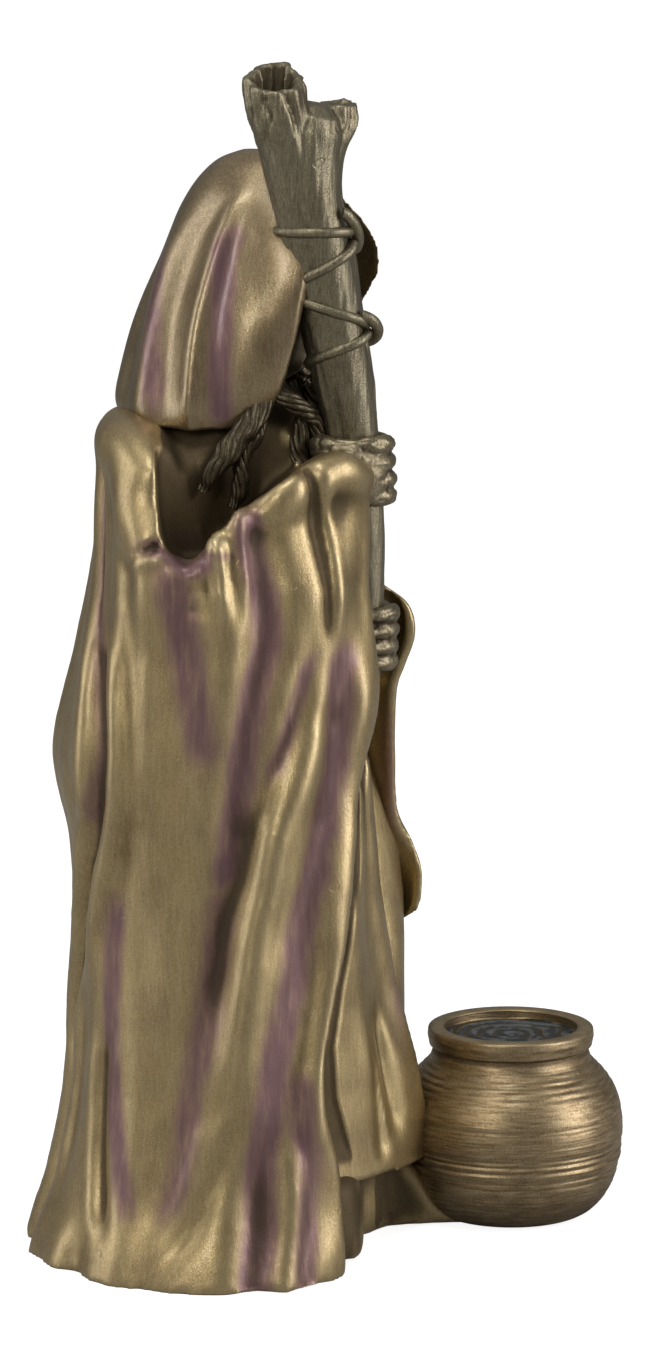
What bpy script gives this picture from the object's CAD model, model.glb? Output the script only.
# %% [markdown]
# # A hooded crone with a staff and a pot
#
# The object is a small figure cast in resin and finished as old bronze. She wears a long cloak
# with a pointed hood, leans on a forked staff that is bound with cord, and has a round pot of
# brew at her feet. The solid of the casting is already packed: this script dresses it. Each part
# of the carving is modelled again with finer folds, and painted as the real casting is.

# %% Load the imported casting
from math import cos, pi, radians, sin, sqrt

import bpy
import numpy as np
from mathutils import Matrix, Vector


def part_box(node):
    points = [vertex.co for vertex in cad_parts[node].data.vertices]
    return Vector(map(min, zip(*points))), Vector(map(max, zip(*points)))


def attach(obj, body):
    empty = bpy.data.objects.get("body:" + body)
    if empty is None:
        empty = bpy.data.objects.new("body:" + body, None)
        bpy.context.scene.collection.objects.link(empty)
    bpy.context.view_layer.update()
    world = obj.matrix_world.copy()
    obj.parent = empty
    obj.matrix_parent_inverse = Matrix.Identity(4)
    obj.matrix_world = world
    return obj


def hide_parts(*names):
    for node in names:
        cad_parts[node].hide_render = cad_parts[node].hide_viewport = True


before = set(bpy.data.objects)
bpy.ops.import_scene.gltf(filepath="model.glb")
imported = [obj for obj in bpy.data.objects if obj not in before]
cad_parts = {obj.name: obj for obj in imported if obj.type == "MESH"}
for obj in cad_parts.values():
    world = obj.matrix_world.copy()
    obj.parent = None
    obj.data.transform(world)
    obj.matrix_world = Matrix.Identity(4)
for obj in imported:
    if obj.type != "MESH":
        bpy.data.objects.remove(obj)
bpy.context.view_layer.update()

CASTING = "hooded_crone_statue"
LOW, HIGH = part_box(CASTING)
CASTING_HEIGHT = 283.2
MM = (HIGH.z - LOW.z) / CASTING_HEIGHT
print("casting", [round(size / MM, 1) for size in (HIGH - LOW)], "mm, one step is", round(MM, 6), "m")

# %% [markdown]
# ## Camera
#
# The camera comes first, so every later choice can be looked at from the right place. It stands
# on the figure's right, a little above her, with a long lens that keeps her edges nearly parallel.

# %% Camera
CAMERA_DISTANCE = 1283.5
CAMERA_RISE = radians(10)
CAMERA_AIM = Vector((0, 0, 136.2)) * MM
camera_data = bpy.data.cameras.new("camera")
camera_data.lens = 143
camera_data.sensor_width = 36
camera = bpy.data.objects.new("camera", camera_data)
bpy.context.scene.collection.objects.link(camera)
camera.location = CAMERA_AIM + Vector((-cos(CAMERA_RISE), 0, sin(CAMERA_RISE))) * CAMERA_DISTANCE * MM
camera.rotation_euler = (CAMERA_AIM - camera.location).to_track_quat("-Z", "Y").to_euler()
bpy.context.scene.camera = camera
print("camera at", [round(place, 3) for place in camera.location])

# %% [markdown]
# ## Number helpers
#
# All the carving below is worked out with arrays, one number for each point of a mesh. These few
# functions draw soft steps and bumps, smooth lines through a few chosen points, and a noise that
# is the same in every run. Lengths are in millimetres until a mesh is made.

# %% Number helpers
def ease(low, high, value):
    """Go softly from 0 at low to 1 at high."""
    share = np.clip((np.asarray(value, float) - low) / (high - low), 0.0, 1.0)
    return share * share * (3 - 2 * share)


def swell(value, centre, half_width):
    """A soft bump of height 1."""
    return np.exp(-((np.asarray(value, float) - centre) / half_width) ** 2)


def apart(first, second):
    """Signed degrees from the second direction to the first."""
    return (first - second + 180.0) % 360.0 - 180.0


def read(rows, place, by, *columns):
    """Read columns of a table at a place in the column that it is sorted by."""
    table = np.array(rows, float)
    return [np.interp(place, table[:, by], table[:, column]) for column in columns]


def along(pairs, place):
    """Read a table of (place, value) pairs."""
    return read(pairs, place, 0, 1)[0]


def round_turns(sides):
    """Evenly spaced angles round a full turn."""
    return np.linspace(0, 2 * pi, sides, endpoint=False)


def level_ring(x, y, height):
    """Points at one height."""
    return np.column_stack((x, y, np.full(len(x), height)))


def smooth_rows(rows, spacing):
    """Fill in rows of numbers along a smooth curve; the spacing is measured on the first three."""
    given = np.array(rows, float)
    ends = np.vstack((2 * given[0] - given[1], given, 2 * given[-1] - given[-2]))
    filled = []
    for before, start, finish, after in zip(ends, ends[1:], ends[2:], ends[3:]):
        count = max(int(round(np.linalg.norm((finish - start)[:3]) / spacing)), 1)
        for t in np.arange(count) / count:
            filled.append(0.5 * (2 * start + (finish - before) * t
                                 + (2 * before - 5 * start + 4 * finish - after) * t ** 2
                                 + (3 * start - before - 3 * finish + after) * t ** 3))
    filled.append(given[-1])
    return np.array(filled)


LATTICE = np.random.default_rng(11).random((32, 32, 32)) * 2 - 1


def noise(points, size):
    """Smooth noise from -1 to 1 at each point, with lumps of about the given size."""
    place = np.asarray(points, float) / size
    cell = np.floor(place).astype(int)
    inside = place - cell
    inside = inside * inside * (3 - 2 * inside)
    total = np.zeros(len(place))
    for corner in np.ndindex(2, 2, 2):
        index = (cell + corner) % len(LATTICE)
        weight = np.prod(np.where(corner, inside, 1 - inside), axis=1)
        total += weight * LATTICE[index[:, 0], index[:, 1], index[:, 2]]
    return total


# %% [markdown]
# ## Form helpers
#
# A carving starts as simple closed forms: lofts through rings of points, and tubes along a path.
# They overlap freely. A voxel remesh then melts them into one skin of even faces, as clay forms
# pressed together become one body. A boolean could join them too, but leaves long thin faces that
# can't be carved any finer.

# %% Form helpers
def loft(rings):
    """Closed form through rings of points, as points and faces that look outwards."""
    rings = np.asarray(rings, float)
    rows, columns = rings.shape[:2]
    first = np.arange(columns)
    after = (first + 1) % columns
    strip = np.column_stack((first, after, after + columns, first + columns))
    quads = np.concatenate([strip + row * columns for row in range(rows - 1)])
    top = (rows - 1) * columns
    bottom_hub = rows * columns
    caps = [np.column_stack((after, first, np.full(columns, bottom_hub))),
            np.column_stack((first + top, after + top, np.full(columns, bottom_hub + 1)))]
    points = np.vstack((rings.reshape(-1, 3), rings[0].mean(axis=0), rings[-1].mean(axis=0)))
    volume = 0.0
    for group in (quads, *caps):
        start = points[group[:, 0]]
        for corner in range(1, group.shape[1] - 1):
            volume += (start * np.cross(points[group[:, corner]], points[group[:, corner + 1]])).sum()
    turned = -1 if volume < 0 else 1
    return points, [group[:, ::turned] for group in (quads, *caps)]


CAP_TURNS = (0.5, 1.0, 1.4)


def tube(rows, spacing=1.0, sides=18, smooth=True):
    """Closed tube with round ends along (x, y, z, radius) rows."""
    path = smooth_rows(rows, spacing) if smooth else np.array(rows, float)
    start_way = path[0, :3] - path[1, :3]
    finish_way = path[-1, :3] - path[-2, :3]
    caps = []
    for end, way in ((path[0], start_way), (path[-1], finish_way)):
        way = way / np.linalg.norm(way)
        caps.append([np.append(end[:3] + way * end[3] * sin(turn), end[3] * cos(turn))
                     for turn in CAP_TURNS])
    path = np.vstack((caps[0][::-1], path, caps[1]))
    ways = np.gradient(path[:, :3], axis=0)
    ways /= np.linalg.norm(ways, axis=1)[:, None]
    side = np.cross(ways[0], (0.3, 0.2, 0.93) if abs(ways[0][2]) < 0.9 else (1, 0, 0))
    turns = round_turns(sides)[:, None]
    rings = []
    for row, way in zip(path, ways):
        side = side - way * side.dot(way)
        side /= np.linalg.norm(side)
        rings.append(row[:3] + row[3] * (np.cos(turns) * side + np.sin(turns) * np.cross(way, side)))
    return loft(rings)


def link(name, mesh):
    """Put a mesh in the scene as a named object."""
    made = bpy.data.objects.new(name, mesh)
    bpy.context.scene.collection.objects.link(made)
    return made


def mesh_of(name, forms):
    """One mesh from several forms, which still overlap."""
    points = np.vstack([form[0] for form in forms]) * MM
    starts = np.cumsum([0] + [len(form[0]) for form in forms])
    faces = []
    for start, form in zip(starts, forms):
        for group in form[1]:
            faces += (group + start).tolist()
    mesh = bpy.data.meshes.new(name)
    mesh.from_pydata(points.tolist(), [], faces)
    mesh.update()
    return link(name, mesh)


def apply_modifiers(made):
    """Make the shape that the modifiers give the object's own."""
    bpy.context.view_layer.update()
    graph = bpy.context.evaluated_depsgraph_get()
    mesh = bpy.data.meshes.new_from_object(made.evaluated_get(graph))
    made.modifiers.clear()
    made.data = mesh
    return made


def melt(made, voxel):
    """Melt an object's forms into one skin of even faces."""
    remesh = made.modifiers.new("Melt", "REMESH")
    remesh.mode = "VOXEL"
    remesh.voxel_size = voxel * MM
    return apply_modifiers(made)


def fuse(name, forms, voxel, hollows=()):
    """One fused piece from forms, less the forms that hollow it."""
    made = melt(mesh_of(name, forms), voxel)
    for hollow in hollows:
        tool = mesh_of("hollow", [hollow])
        cut = made.modifiers.new("Hollow", "BOOLEAN")
        cut.operation = "DIFFERENCE"
        cut.solver = "MANIFOLD"
        cut.object = tool
        apply_modifiers(made)
        bpy.data.objects.remove(tool)
    if hollows:
        melt(made, voxel)
    print(name, "has", len(made.data.polygons) * 2, "triangles after the melt")
    return made


# %% [markdown]
# ## Carving helper
#
# Fine folds are carved by moving the points of a fused skin along its normals. A small class
# keeps the points, normals and neighbours of one mesh as arrays. It can relax the skin, push it
# in or out by any amount, and measure how hollow each place is, which tells the paint where dark
# wash would settle. A displacement texture could push it too, but can't follow a chosen line.
# Where a change holds is given by soft limits: along x, y and z, from where to where it rises
# from nothing, and from where to where it falls again.

# %% Carving helper
def near_line(points, line, half_width, spacing=0.7):
    """1 on a line through the given places, fading to 0 beside it."""
    path = smooth_rows(line, spacing)
    near = np.full(len(points), 1e9)
    box = (points > path.min(axis=0) - 3 * half_width) & (points < path.max(axis=0) + 3 * half_width)
    chosen = np.flatnonzero(box.all(axis=1))
    for place in path:
        near[chosen] = np.minimum(near[chosen], ((points[chosen] - place) ** 2).sum(axis=1))
    return np.exp(-near / half_width ** 2)


def within(points, *limits):
    """1 inside soft limits along x, y and z, each given as where it rises and where it falls."""
    share = np.ones(len(points))
    for values, (rise, fall) in zip(points.T, limits):
        if rise:
            share = share * ease(*rise, values)
        if fall:
            share = share * (1 - ease(*fall, values))
    return share


ANYWHERE = (None, None)


def points_of(made):
    """The points of a mesh, in millimetres."""
    flat = np.empty(len(made.data.vertices) * 3)
    made.data.vertices.foreach_get("co", flat)
    return flat.reshape(-1, 3) / MM


def keep_numbers(mesh, name, values):
    """Store a number for each point of a mesh, for its finish or its node tree to read."""
    layer = mesh.attributes.new(name, "FLOAT", "POINT")
    layer.data.foreach_set("value", np.asarray(values, np.float32))


# How strongly fine and broad hollows take the dark wash, and crests the rubbed light
FINE_WASH = 6.0
BROAD_WASH = 0.6
DEEPEST_WASH = 1.5
CREST_LIGHT = 1.4
# One step that shrinks the skin, and one that gives its bulk back
SHRINK = 0.5
REGROW = -0.52


class Carving:
    """The points of one fused mesh, ready to be carved and painted."""

    def __init__(self, made):
        self.made = made
        self.shade = 0.0
        self.plum = 0.0
        mesh = made.data
        self.points = points_of(made)
        self.count = len(self.points)
        ends = np.empty(len(mesh.edges) * 2, int)
        mesh.edges.foreach_get("vertices", ends)
        self.ends = ends.reshape(-1, 2)
        self.degree = np.bincount(ends, minlength=self.count).clip(1)
        corners = np.empty(len(mesh.loops), int)
        mesh.loops.foreach_get("vertex_index", corners)
        sizes = np.empty(len(mesh.polygons), int)
        mesh.polygons.foreach_get("loop_total", sizes)
        assert (sizes == 4).all(), "the melt gives faces with four corners"
        self.quads = corners.reshape(-1, 4)

    def mean_around(self, values):
        """Mean of the neighbours of each point."""
        first, second = self.ends.T
        table = values.reshape(self.count, -1)
        sums = [np.bincount(first, column[second], self.count)
                + np.bincount(second, column[first], self.count) for column in table.T]
        return (np.array(sums) / self.degree).T.reshape(values.shape)

    def spread(self, values, times):
        """Blur values over the skin."""
        for _ in range(times):
            values = (values + self.mean_around(values)) / 2
        return values

    def normals(self):
        """Outward direction at each point."""
        a, b, c, d = (self.points[self.quads[:, corner]] for corner in range(4))
        across = np.cross(c - a, d - b)
        total = np.zeros((self.count, 3))
        for corner in range(4):
            for axis in range(3):
                total[:, axis] += np.bincount(self.quads[:, corner], across[:, axis], self.count)
        return total / np.linalg.norm(total, axis=1).clip(1e-9)[:, None]

    def relax(self, times, where=1.0, shares=(SHRINK, REGROW)):
        """Soften the skin; a shrinking step and a growing one keep its bulk."""
        where = np.broadcast_to(where, self.count)[:, None]
        for share in shares * times:
            self.points += where * share * (self.mean_around(self.points) - self.points)

    def soften(self, times, where=1.0):
        """Melt the skin down, so that separate forms run into one another."""
        self.relax(times, where, (SHRINK,))

    def push(self, amount):
        """Move each point outwards by its own amount."""
        self.points += self.normals() * np.asarray(amount)[:, None]

    def hollow(self, times):
        """How far each point lies below the skin around it, in millimetres."""
        around = self.points
        for _ in range(times):
            around = self.mean_around(around)
        return ((around - self.points) * self.normals()).sum(axis=1)

    def store(self):
        """Write the points back, shade the skin smoothly, and keep the paint layers."""
        self.points[:, 2] = self.points[:, 2].clip(0, None)
        mesh = self.made.data
        mesh.vertices.foreach_set("co", (self.points * MM).ravel())
        mesh.shade_smooth()
        mesh.update()
        wash = self.spread(self.hollow(3), 2) * FINE_WASH + self.hollow(12) * BROAD_WASH + self.shade
        keep_numbers(mesh, "plum", np.broadcast_to(self.plum, self.count))
        keep_numbers(mesh, "hollow", wash.clip(0, DEEPEST_WASH))
        keep_numbers(mesh, "crest", (-self.hollow(5) * CREST_LIGHT).clip(0, 1.0))
        box = self.points.max(axis=0) - self.points.min(axis=0)
        print(self.made.name, "measures", box.round(1), "mm, deepest hollow", round(float(wash.max()), 2))


# %% [markdown]
# ## The robe
#
# The cloak is a tall drape round an upright axis. Its plan is a rounded box that changes with
# height, so one function gives its distance from the axis in any direction. The near half laps
# over the front and ends in a hem, and long valleys run up it to the shoulders. The plan could be
# sculpted by hand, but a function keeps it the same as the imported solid.

# %% Plan of the cloak
AXIS_Y = 22.0
SQUARENESS = 2.3
# Height, and the reach towards her right, the front, the back and her left
PLAN = ((0, 54, 33, 50, 47), (6, 52.2, 34, 48.4, 46), (20, 48, 33, 43.2, 43), (45, 45, 33, 39, 41),
        (80, 43, 33, 37.6, 40), (100, 43, 32, 38.8, 41), (121, 43.5, 28, 42.2, 42), (145, 43.5, 25, 37, 42),
        (165, 42, 24, 32.6, 40), (200, 34, 22, 31, 32))
SMOOTH_PLAN = smooth_rows(PLAN, 2.0)
NEAR_HEM = ((0, 52), (25, 54), (40, 60), (52, 61), (66, 57), (82, 51), (105, 44), (121, 37),
            (133, 31), (149, 32), (163, 34), (176, 29), (190, 24))
CLOTH_TOP = ((0, 178), (16, 182), (24, 186), (33, 190), (52, 192), (60, 191), (68, 189), (76, 186),
             (84, 181), (90, 178), (98, 170.5), (106, 169), (113, 180), (122, 190), (150, 197),
             (180, 200), (210, 197), (232, 192), (246, 184), (256, 160), (270, 152), (290, 149),
             (310, 148), (325, 150), (340, 165), (360, 178))
# Long valleys of the far side and the back: (height, degrees) points, depth and half width
LONG_VALLEYS = (
    (((0, 83), (23, 80), (53, 73), (81, 68), (114, 58), (148, 47), (190, 42)), -1.2, 4.6),
    (((0, 113), (35, 105), (66, 98), (99, 90), (132, 84), (164, 79), (190, 76)), -0.9, 5.0),
    (((0, 126), (42, 128), (90, 127), (122, 108), (170, 107), (190, 107)), -0.4, 4.0),
    (((0, 168), (55, 164), (71, 156), (92, 145), (113, 135), (150, 136), (190, 148)), -2.0, 3.6),
    (((0, 196), (80, 190), (140, 184), (190, 182)), -1.6, 3.6),
    (((0, 222), (60, 224), (120, 216), (190, 208)), -2.4, 3.6),
    (((0, 246), (70, 252), (150, 250), (190, 238)), -2.8, 3.8),
    (((0, 272), (60, 270), (120, 276), (190, 270)), -2.2, 3.4),
    (((0, 298), (70, 296), (130, 292), (190, 290)), -2.8, 3.6),
    (((0, 320), (60, 322), (120, 318), (190, 316)), -2.2, 3.0),
)
# How far the hem's layer stands out, tucks under, draws back under the front panel and swells
# over the near arm; how far the far fall and the elbows push out; and what the skirt and the
# nick behind take away
HEM_STEP = 3.2
HEM_TUCK = 1.2
UNDER_PANEL = 9.0
SLEEVE_SWELL = 8.0
FAR_FALL_REACH = 9.2
ELBOW_PUSH = 4.0
SKIRT_DRAW = 4.5
HEM_NICK = 3.0
# Direction of each elbow, and the height where its push starts
ELBOWS = ((114, 146), (242, 136))
CLOTH_ROLL = 2.2
CLOSING_HEIGHT = 165.0
COLUMNS_PER_GAP = 26
CLOAK_ROWS = 220


def plan_reach(height, side):
    """Reach of the plain cloak towards one side."""
    return np.interp(height, SMOOTH_PLAN[:, 0], SMOOTH_PLAN[:, side])


def plan_radius(degrees, height):
    """Distance of the plain cloak from its axis."""
    turn = np.radians(degrees)
    sideways, forward = -np.sin(turn), -np.cos(turn)
    half_width = np.where(sideways < 0, plan_reach(height, 1), plan_reach(height, 4))
    half_depth = np.where(forward < 0, plan_reach(height, 2), plan_reach(height, 3))
    reach = np.abs(sideways / half_width) ** SQUARENESS + np.abs(forward / half_depth) ** SQUARENESS
    return reach ** (-1 / SQUARENESS)


def cloak_radius(degrees, height, inner):
    """Distance of the draped cloak from its axis."""
    radius = plan_radius(degrees, height)
    away = apart(degrees, along(NEAR_HEM, height))
    lift = HEM_STEP * (0.3 + 0.7 * ease(2, 30, height))
    lift = lift + SLEEVE_SWELL * ease(108, 140, height) * (1 - ease(10, 60, away))
    radius = radius + lift * (1 - ease(12, 45, away)) * ((away >= -0.01) & (away < 90) & ~inner)
    for line, depth, half_width in LONG_VALLEYS:
        offset = np.radians(apart(degrees, along(line, height))) * radius
        fade = 1 - 0.65 * ease(150, 195, height)
        radius = radius + depth * fade * swell(offset, 0, half_width)
        radius = radius - 0.5 * depth * fade * swell(np.abs(offset), 1.9 * half_width, half_width)
    radius = radius + FAR_FALL_REACH * swell(apart(degrees, -20), 0, 19) * (1 - ease(125, 158, height))
    for elbow, low in ELBOWS:
        radius = radius + ELBOW_PUSH * swell(apart(degrees, elbow), 0, 15) * ease(low, low + 22, height)
    radius = radius - SKIRT_DRAW * (1 - ease(18, 30, height)) * swell(apart(degrees, 16), 0, 14)
    under_panel = ease(18, 26, height) * (1 - ease(132, 148, height))
    under_panel = under_panel * (1 - ease(-5, -0.5, away)) * ease(-75, -50, away)
    radius = radius - UNDER_PANEL * under_panel
    return radius - HEM_NICK * (1 - ease(2, 16, height)) * swell(apart(degrees, 136), 0, 5)


def hem_place(height):
    """How far back the edge of the near hem lies at a height."""
    degrees = along(NEAR_HEM, height)
    reach = cloak_radius(degrees + 0.1, height, np.zeros(len(height), bool))
    return AXIS_Y - reach * np.cos(np.radians(degrees))


def cloak_form():
    """The cloak as a loft whose columns follow the long valleys."""
    column = np.arange(COLUMNS_PER_GAP)
    lines = [NEAR_HEM] + [line for line, depth, width in LONG_VALLEYS]
    guides = [lambda height, line=line: along(line, height) for line in lines]
    guides += [lambda height: 339.0 + 0 * height, lambda height: 361.0 + 0 * height,
               lambda height: 360.0 + along(NEAR_HEM, height) - HEM_TUCK]
    gap = np.append(np.repeat(np.arange(len(guides) - 1), COLUMNS_PER_GAP), len(guides) - 2)
    share = np.append(np.tile(column / COLUMNS_PER_GAP, len(guides) - 1), 1.0)
    inner = gap >= len(guides) - 4
    rings = []
    for climb in np.linspace(0, 1, CLOAK_ROWS):
        height = np.full(len(gap), climb * 190.0)
        for _ in range(4):
            at = np.array([guide(height) for guide in guides])
            index = np.arange(len(gap))
            turned = at[gap, index] * (1 - share) + at[gap + 1, index] * share
            degrees = turned % 360
            top = along(CLOTH_TOP, degrees)
            height = climb * top
        radius = cloak_radius(degrees, height, inner) - CLOTH_ROLL * ease(top - 7, top, height)
        turn = np.radians(degrees)
        rings.append(np.column_stack((-radius * np.sin(turn), AXIS_Y - radius * np.cos(turn), height)))
    closing = np.array((0, AXIS_Y, CLOSING_HEIGHT))
    inside = closing + (rings[-1] - closing) * 0.5
    inside[:, 2] += (CLOSING_HEIGHT - rings[-1][:, 2]) * 0.4
    rings.append(inside)
    return loft(rings)


cloak = cloak_form()
print("cloak has", len(cloak[0]), "points")

# %% [markdown]
# ### Chest, arms, front fall and far sleeve
#
# Under the cloak the chest fills the neck, and both arms bend forward to the staff. The cloth of
# her left sleeve falls in front as a long panel with a square lower edge, and hangs beside it as
# a wide sleeve that ends in a rolled corner. Each is a loft through a few sections. The mouth of
# that sleeve is hollowed, so that the hand comes out of the dark.

# %% Chest and arms
def oval_rings(sections, sides=72):
    """Rings through (height, half width, front, back) sections."""
    turns = round_turns(sides)
    return [level_ring(half_width * np.cos(turns),
                       (front + back) / 2 + (back - front) / 2 * np.sin(turns), height)
            for height, half_width, front, back in sections]


CHEST = ((110, 28, -2, 48), (150, 29, -2, 50), (172, 31, -1, 51), (181, 30, -1, 51.5),
         (187, 25, -0.5, 51), (193, 20, 0, 49), (199, 16, 2, 46), (205, 11, 9, 40))
# Arms and rolls of cloth: (x, y, height, radius)
UPPER_ARM = ((-17, 43, 194, 7), (-24, 42.5, 188, 8), (-29.5, 40.2, 177, 8.6), (-31.5, 37.6, 168.5, 8.8),
             (-32, 36, 160, 7))
SLEEVE_EDGE = ((-33, 41.5, 169, 4.2), (-37.6, 37, 168.2, 4.2), (-39.6, 31.5, 166.5, 3.8),
               (-39.4, 27.2, 169.2, 3.6), (-38.8, 24.6, 172.7, 3.8), (-38.0, 22.2, 174.6, 3.4),
               (-37.2, 19.8, 178.8, 3.9), (-36.6, 17, 179.6, 3.5), (-35.6, 14, 181.2, 3.9),
               (-33.0, 9.5, 185.6, 5.5), (-31.2, 5.6, 187.0, 5.4), (-30.2, 3.2, 187.2, 5.0),
               (-28.8, 0.2, 189.2, 5.3), (-26.2, -3.6, 189.6, 5.2), (-22, -6.6, 188.0, 4.6),
               (-16, -8.0, 187.0, 4.0))
FOREARM = ((-27.5, 9, 181.5, 7.5), (-22, 0, 184.8, 7.5), (-15, -5.5, 186.5, 5.5))
SHOULDERS = ((26, 40, 188, 7), (12, 46, 193, 7.5), (-8, 47, 194.5, 7.5), (-20, 44.5, 193, 7.5),
             (-28, 40, 188, 7.5))
FAR_ARM = ((19, 33, 195, 8), (26, 36, 188, 9), (31, 37, 174, 9), (33, 33, 159, 9),
           (32.5, 20, 151.5, 9), (27, 6, 149.5, 9), (17, -5, 149, 8.0), (8, -9.5, 149.5, 5.2))
chest = loft(oval_rings(smooth_rows(CHEST, 3.0)))
near_arm = [tube(form, 1.2, 36) for form in (UPPER_ARM, SLEEVE_EDGE, FOREARM, SHOULDERS)]
far_arm = tube(FAR_ARM, 1.5, 40)

# %% Front fall and far sleeve
FALL_NEAR_EDGE = ((15, -27, -3), (40, -29, 1), (60, -29, 2), (90, -26, -2), (115, -21, -4), (140, -14, -4))
FALL_RIDGE = ((15, 5, -24.6), (31, 4.6, -24.4), (44, 3, -21.9), (62, 1, -17), (85, -2, -13.3),
              (112, -6, -10.8), (140, -9, -8))
FALL_FAR_EDGE = ((15, 15, -16), (62, 13, -13), (112, 6, -9), (140, 2, -5))
# How far the panel swells between its edges, and how deep the troughs down it are
FALL_BULGE = 2.2
LOW_TROUGH = 1.9
HIGH_TROUGH = 0.9


def front_fall():
    """The long front panel, flat towards her right, with a shallow trough down it."""
    rings = []
    for height in np.arange(17.5, 134.1, 1.1):
        near, middle, far = (np.array(read(edge, height, 0, 1, 2))
                             for edge in (FALL_NEAR_EDGE, FALL_RIDGE, FALL_FAR_EDGE))
        low_trough = LOW_TROUGH * ease(22, 32, height) * (1 - ease(44, 62, height))
        ring = []
        for start, finish, count, bow in ((near, middle, 48, 1.0), (middle, far, 16, 0.4)):
            share = np.arange(count) / count
            bulge = FALL_BULGE * np.sin(pi * share)
            bulge = bulge - low_trough * swell(share, 0.64, 0.09)
            bulge = bulge - HIGH_TROUGH * swell(share, 0.64, 0.15) * ease(40, 60, height)
            way = (finish - start) / np.linalg.norm(finish - start)
            out = np.array((way[1], -way[0]))
            ring += list(start + np.outer(share, finish - start) + np.outer(bulge * bow, out))
        ring += [far, np.array((8.0, 6.0)), np.array((-14.0, 8.0))]
        ring = np.array(ring)
        lower = max(22 - height, 0.0) * 0.25
        rings.append(np.column_stack((ring, height + lower * (ring[:, 0] < -10))))
    return loft(rings)


# Height, rear end (x, y), front end (x, y) and thickness of the far sleeve
FAR_SLEEVE = (
    (73.5, 23.5, -14, 20, -20, 3.0), (77, 28, -8, 19.5, -23.8, 5.5), (85, 31.5, -2, 19, -24.8, 7.0),
    (93, 34, 3, 17.5, -22.6, 8.0), (102, 36, 7, 15, -18.8, 8.5), (116, 37, 10, 12, -18.4, 9.0),
    (132, 37, 13, 9, -18.8, 9.0), (138, 37, 14, 9, -20.6, 9.5), (146, 36, 16, 8, -23.0, 9.5),
    (153, 34, 17, 8, -21.4, 9.0), (158, 30, 16, 8, -15.5, 6.0))


def far_sleeve():
    """The wide sleeve that hangs from her left forearm."""
    rings = []
    turns = round_turns(90)
    for height, rear_x, rear_y, front_x, front_y, thickness in smooth_rows(FAR_SLEEVE, 1.2):
        rear, front = np.array((rear_x, rear_y)), np.array((front_x, front_y))
        half = (front - rear) / 2
        across = np.array((-half[1], half[0])) / np.linalg.norm(half) * thickness / 2
        bowed = -3.0 * np.cos(turns) ** 2 / (thickness / 2)
        place = (rear + front) / 2 + np.outer(np.cos(turns), half) + np.outer(np.sin(turns) + bowed, across)
        rings.append(level_ring(*place.T, height))
    return loft(rings)


def oval_lump(centre, sizes, turn=0.0, lean=0.0):
    """An egg about a centre, turned in plan and leaned, to add or to hollow."""
    rings = []
    turns = round_turns(48)
    for level in np.linspace(-pi / 2 + 0.1, pi / 2 - 0.1, 20):
        x = sizes[0] * cos(level) * np.cos(turns)
        y = sizes[1] * cos(level) * np.sin(turns)
        z = np.full(len(turns), sizes[2] * sin(level))
        y, z = y * cos(lean) - z * sin(lean), y * sin(lean) + z * cos(lean)
        x, y = x * cos(turn) - y * sin(turn), x * sin(turn) + y * cos(turn)
        rings.append(np.column_stack((x, y, z)) + centre)
    return loft(rings)


# The pot stands off the corner of the front panel, and a web of casting joins the skirt to it
PANEL_CORNER = np.array((5.0, -24.6))
POT_BEARING = radians(36)
POT_REACH = 25.6
POT_AXIS = PANEL_CORNER + np.array((sin(POT_BEARING), -cos(POT_BEARING))) * POT_REACH
WEB_START = np.array((13.0, -8.0))
WEB_HALF_WIDTH = 11.2


def base_web():
    """The thin web on the ground between skirt and pot."""
    away = (POT_AXIS - WEB_START) / np.linalg.norm(POT_AXIS - WEB_START)
    side = np.array((-away[1], away[0])) * WEB_HALF_WIDTH
    rings = []
    for share in np.linspace(0, 1, 30):
        middle = WEB_START + (POT_AXIS - WEB_START) * share
        top = 1.4 + 11.6 * (1 - share) ** 2.4 + 13 * float(swell(share, 0.27, 0.17))
        across = np.linspace(1, -1, 15)
        profile = [(1, 0)] + [(a, top * (1 - 0.2 * a * a)) for a in across] + [(-1, 0)]
        rings.append([(middle[0] + side[0] * a, middle[1] + side[1] * a, z) for a, z in profile])
    return loft(rings)


sleeve_mouth = [oval_lump((2.0, -12.5, 146.5), (9.5, 6.0, 11.5), radians(-20), radians(8)),
                oval_lump((-2.5, -10.0, 131.0), (6.0, 4.2, 12.0), radians(-25), radians(6))]


# Height and both ends of the pocket, its inner plane as y and x, the cloth left outside it, and
# how far it opens outwards above the sleeve's edge
POCKET_ENDS = ((169, 27.5, 33), (172, 25, 36), (177, 20.5, 37.8), (184, 13, 38.6), (190, 7, 39),
               (200, 3, 39), (216, 0, 39))
POCKET_BACK = ((0, 22, 38.5), (-12, -16, -28.5))
POCKET_WALL = 3.6
POCKET_FLARE = 17


def arm_pocket():
    """The dark pocket between the upper arm, the rolled edge of the sleeve and the chest."""
    edge = SLEEVE_EDGE[:-2][::-1]
    turns = round_turns(48)
    squarer = np.maximum(np.abs(np.cos(turns)), np.abs(np.sin(turns)))
    rings = []
    for z, front_y, rear_y in smooth_rows(POCKET_ENDS, 1.5):
        y = (front_y + rear_y) / 2 + (rear_y - front_y) / 2 * np.cos(turns) / squarer
        edge_x, edge_z = read(edge, y, 1, 0, 2)
        outer = edge_x + POCKET_WALL - POCKET_FLARE * ease(3.5, 7, z - edge_z)
        inner = np.maximum(np.interp(y, *POCKET_BACK), outer + 0.5)
        x = (outer + inner) / 2 - (inner - outer) / 2 * np.sin(turns) / squarer
        rings.append(level_ring(x, y, z))
    return loft(rings)


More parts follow.
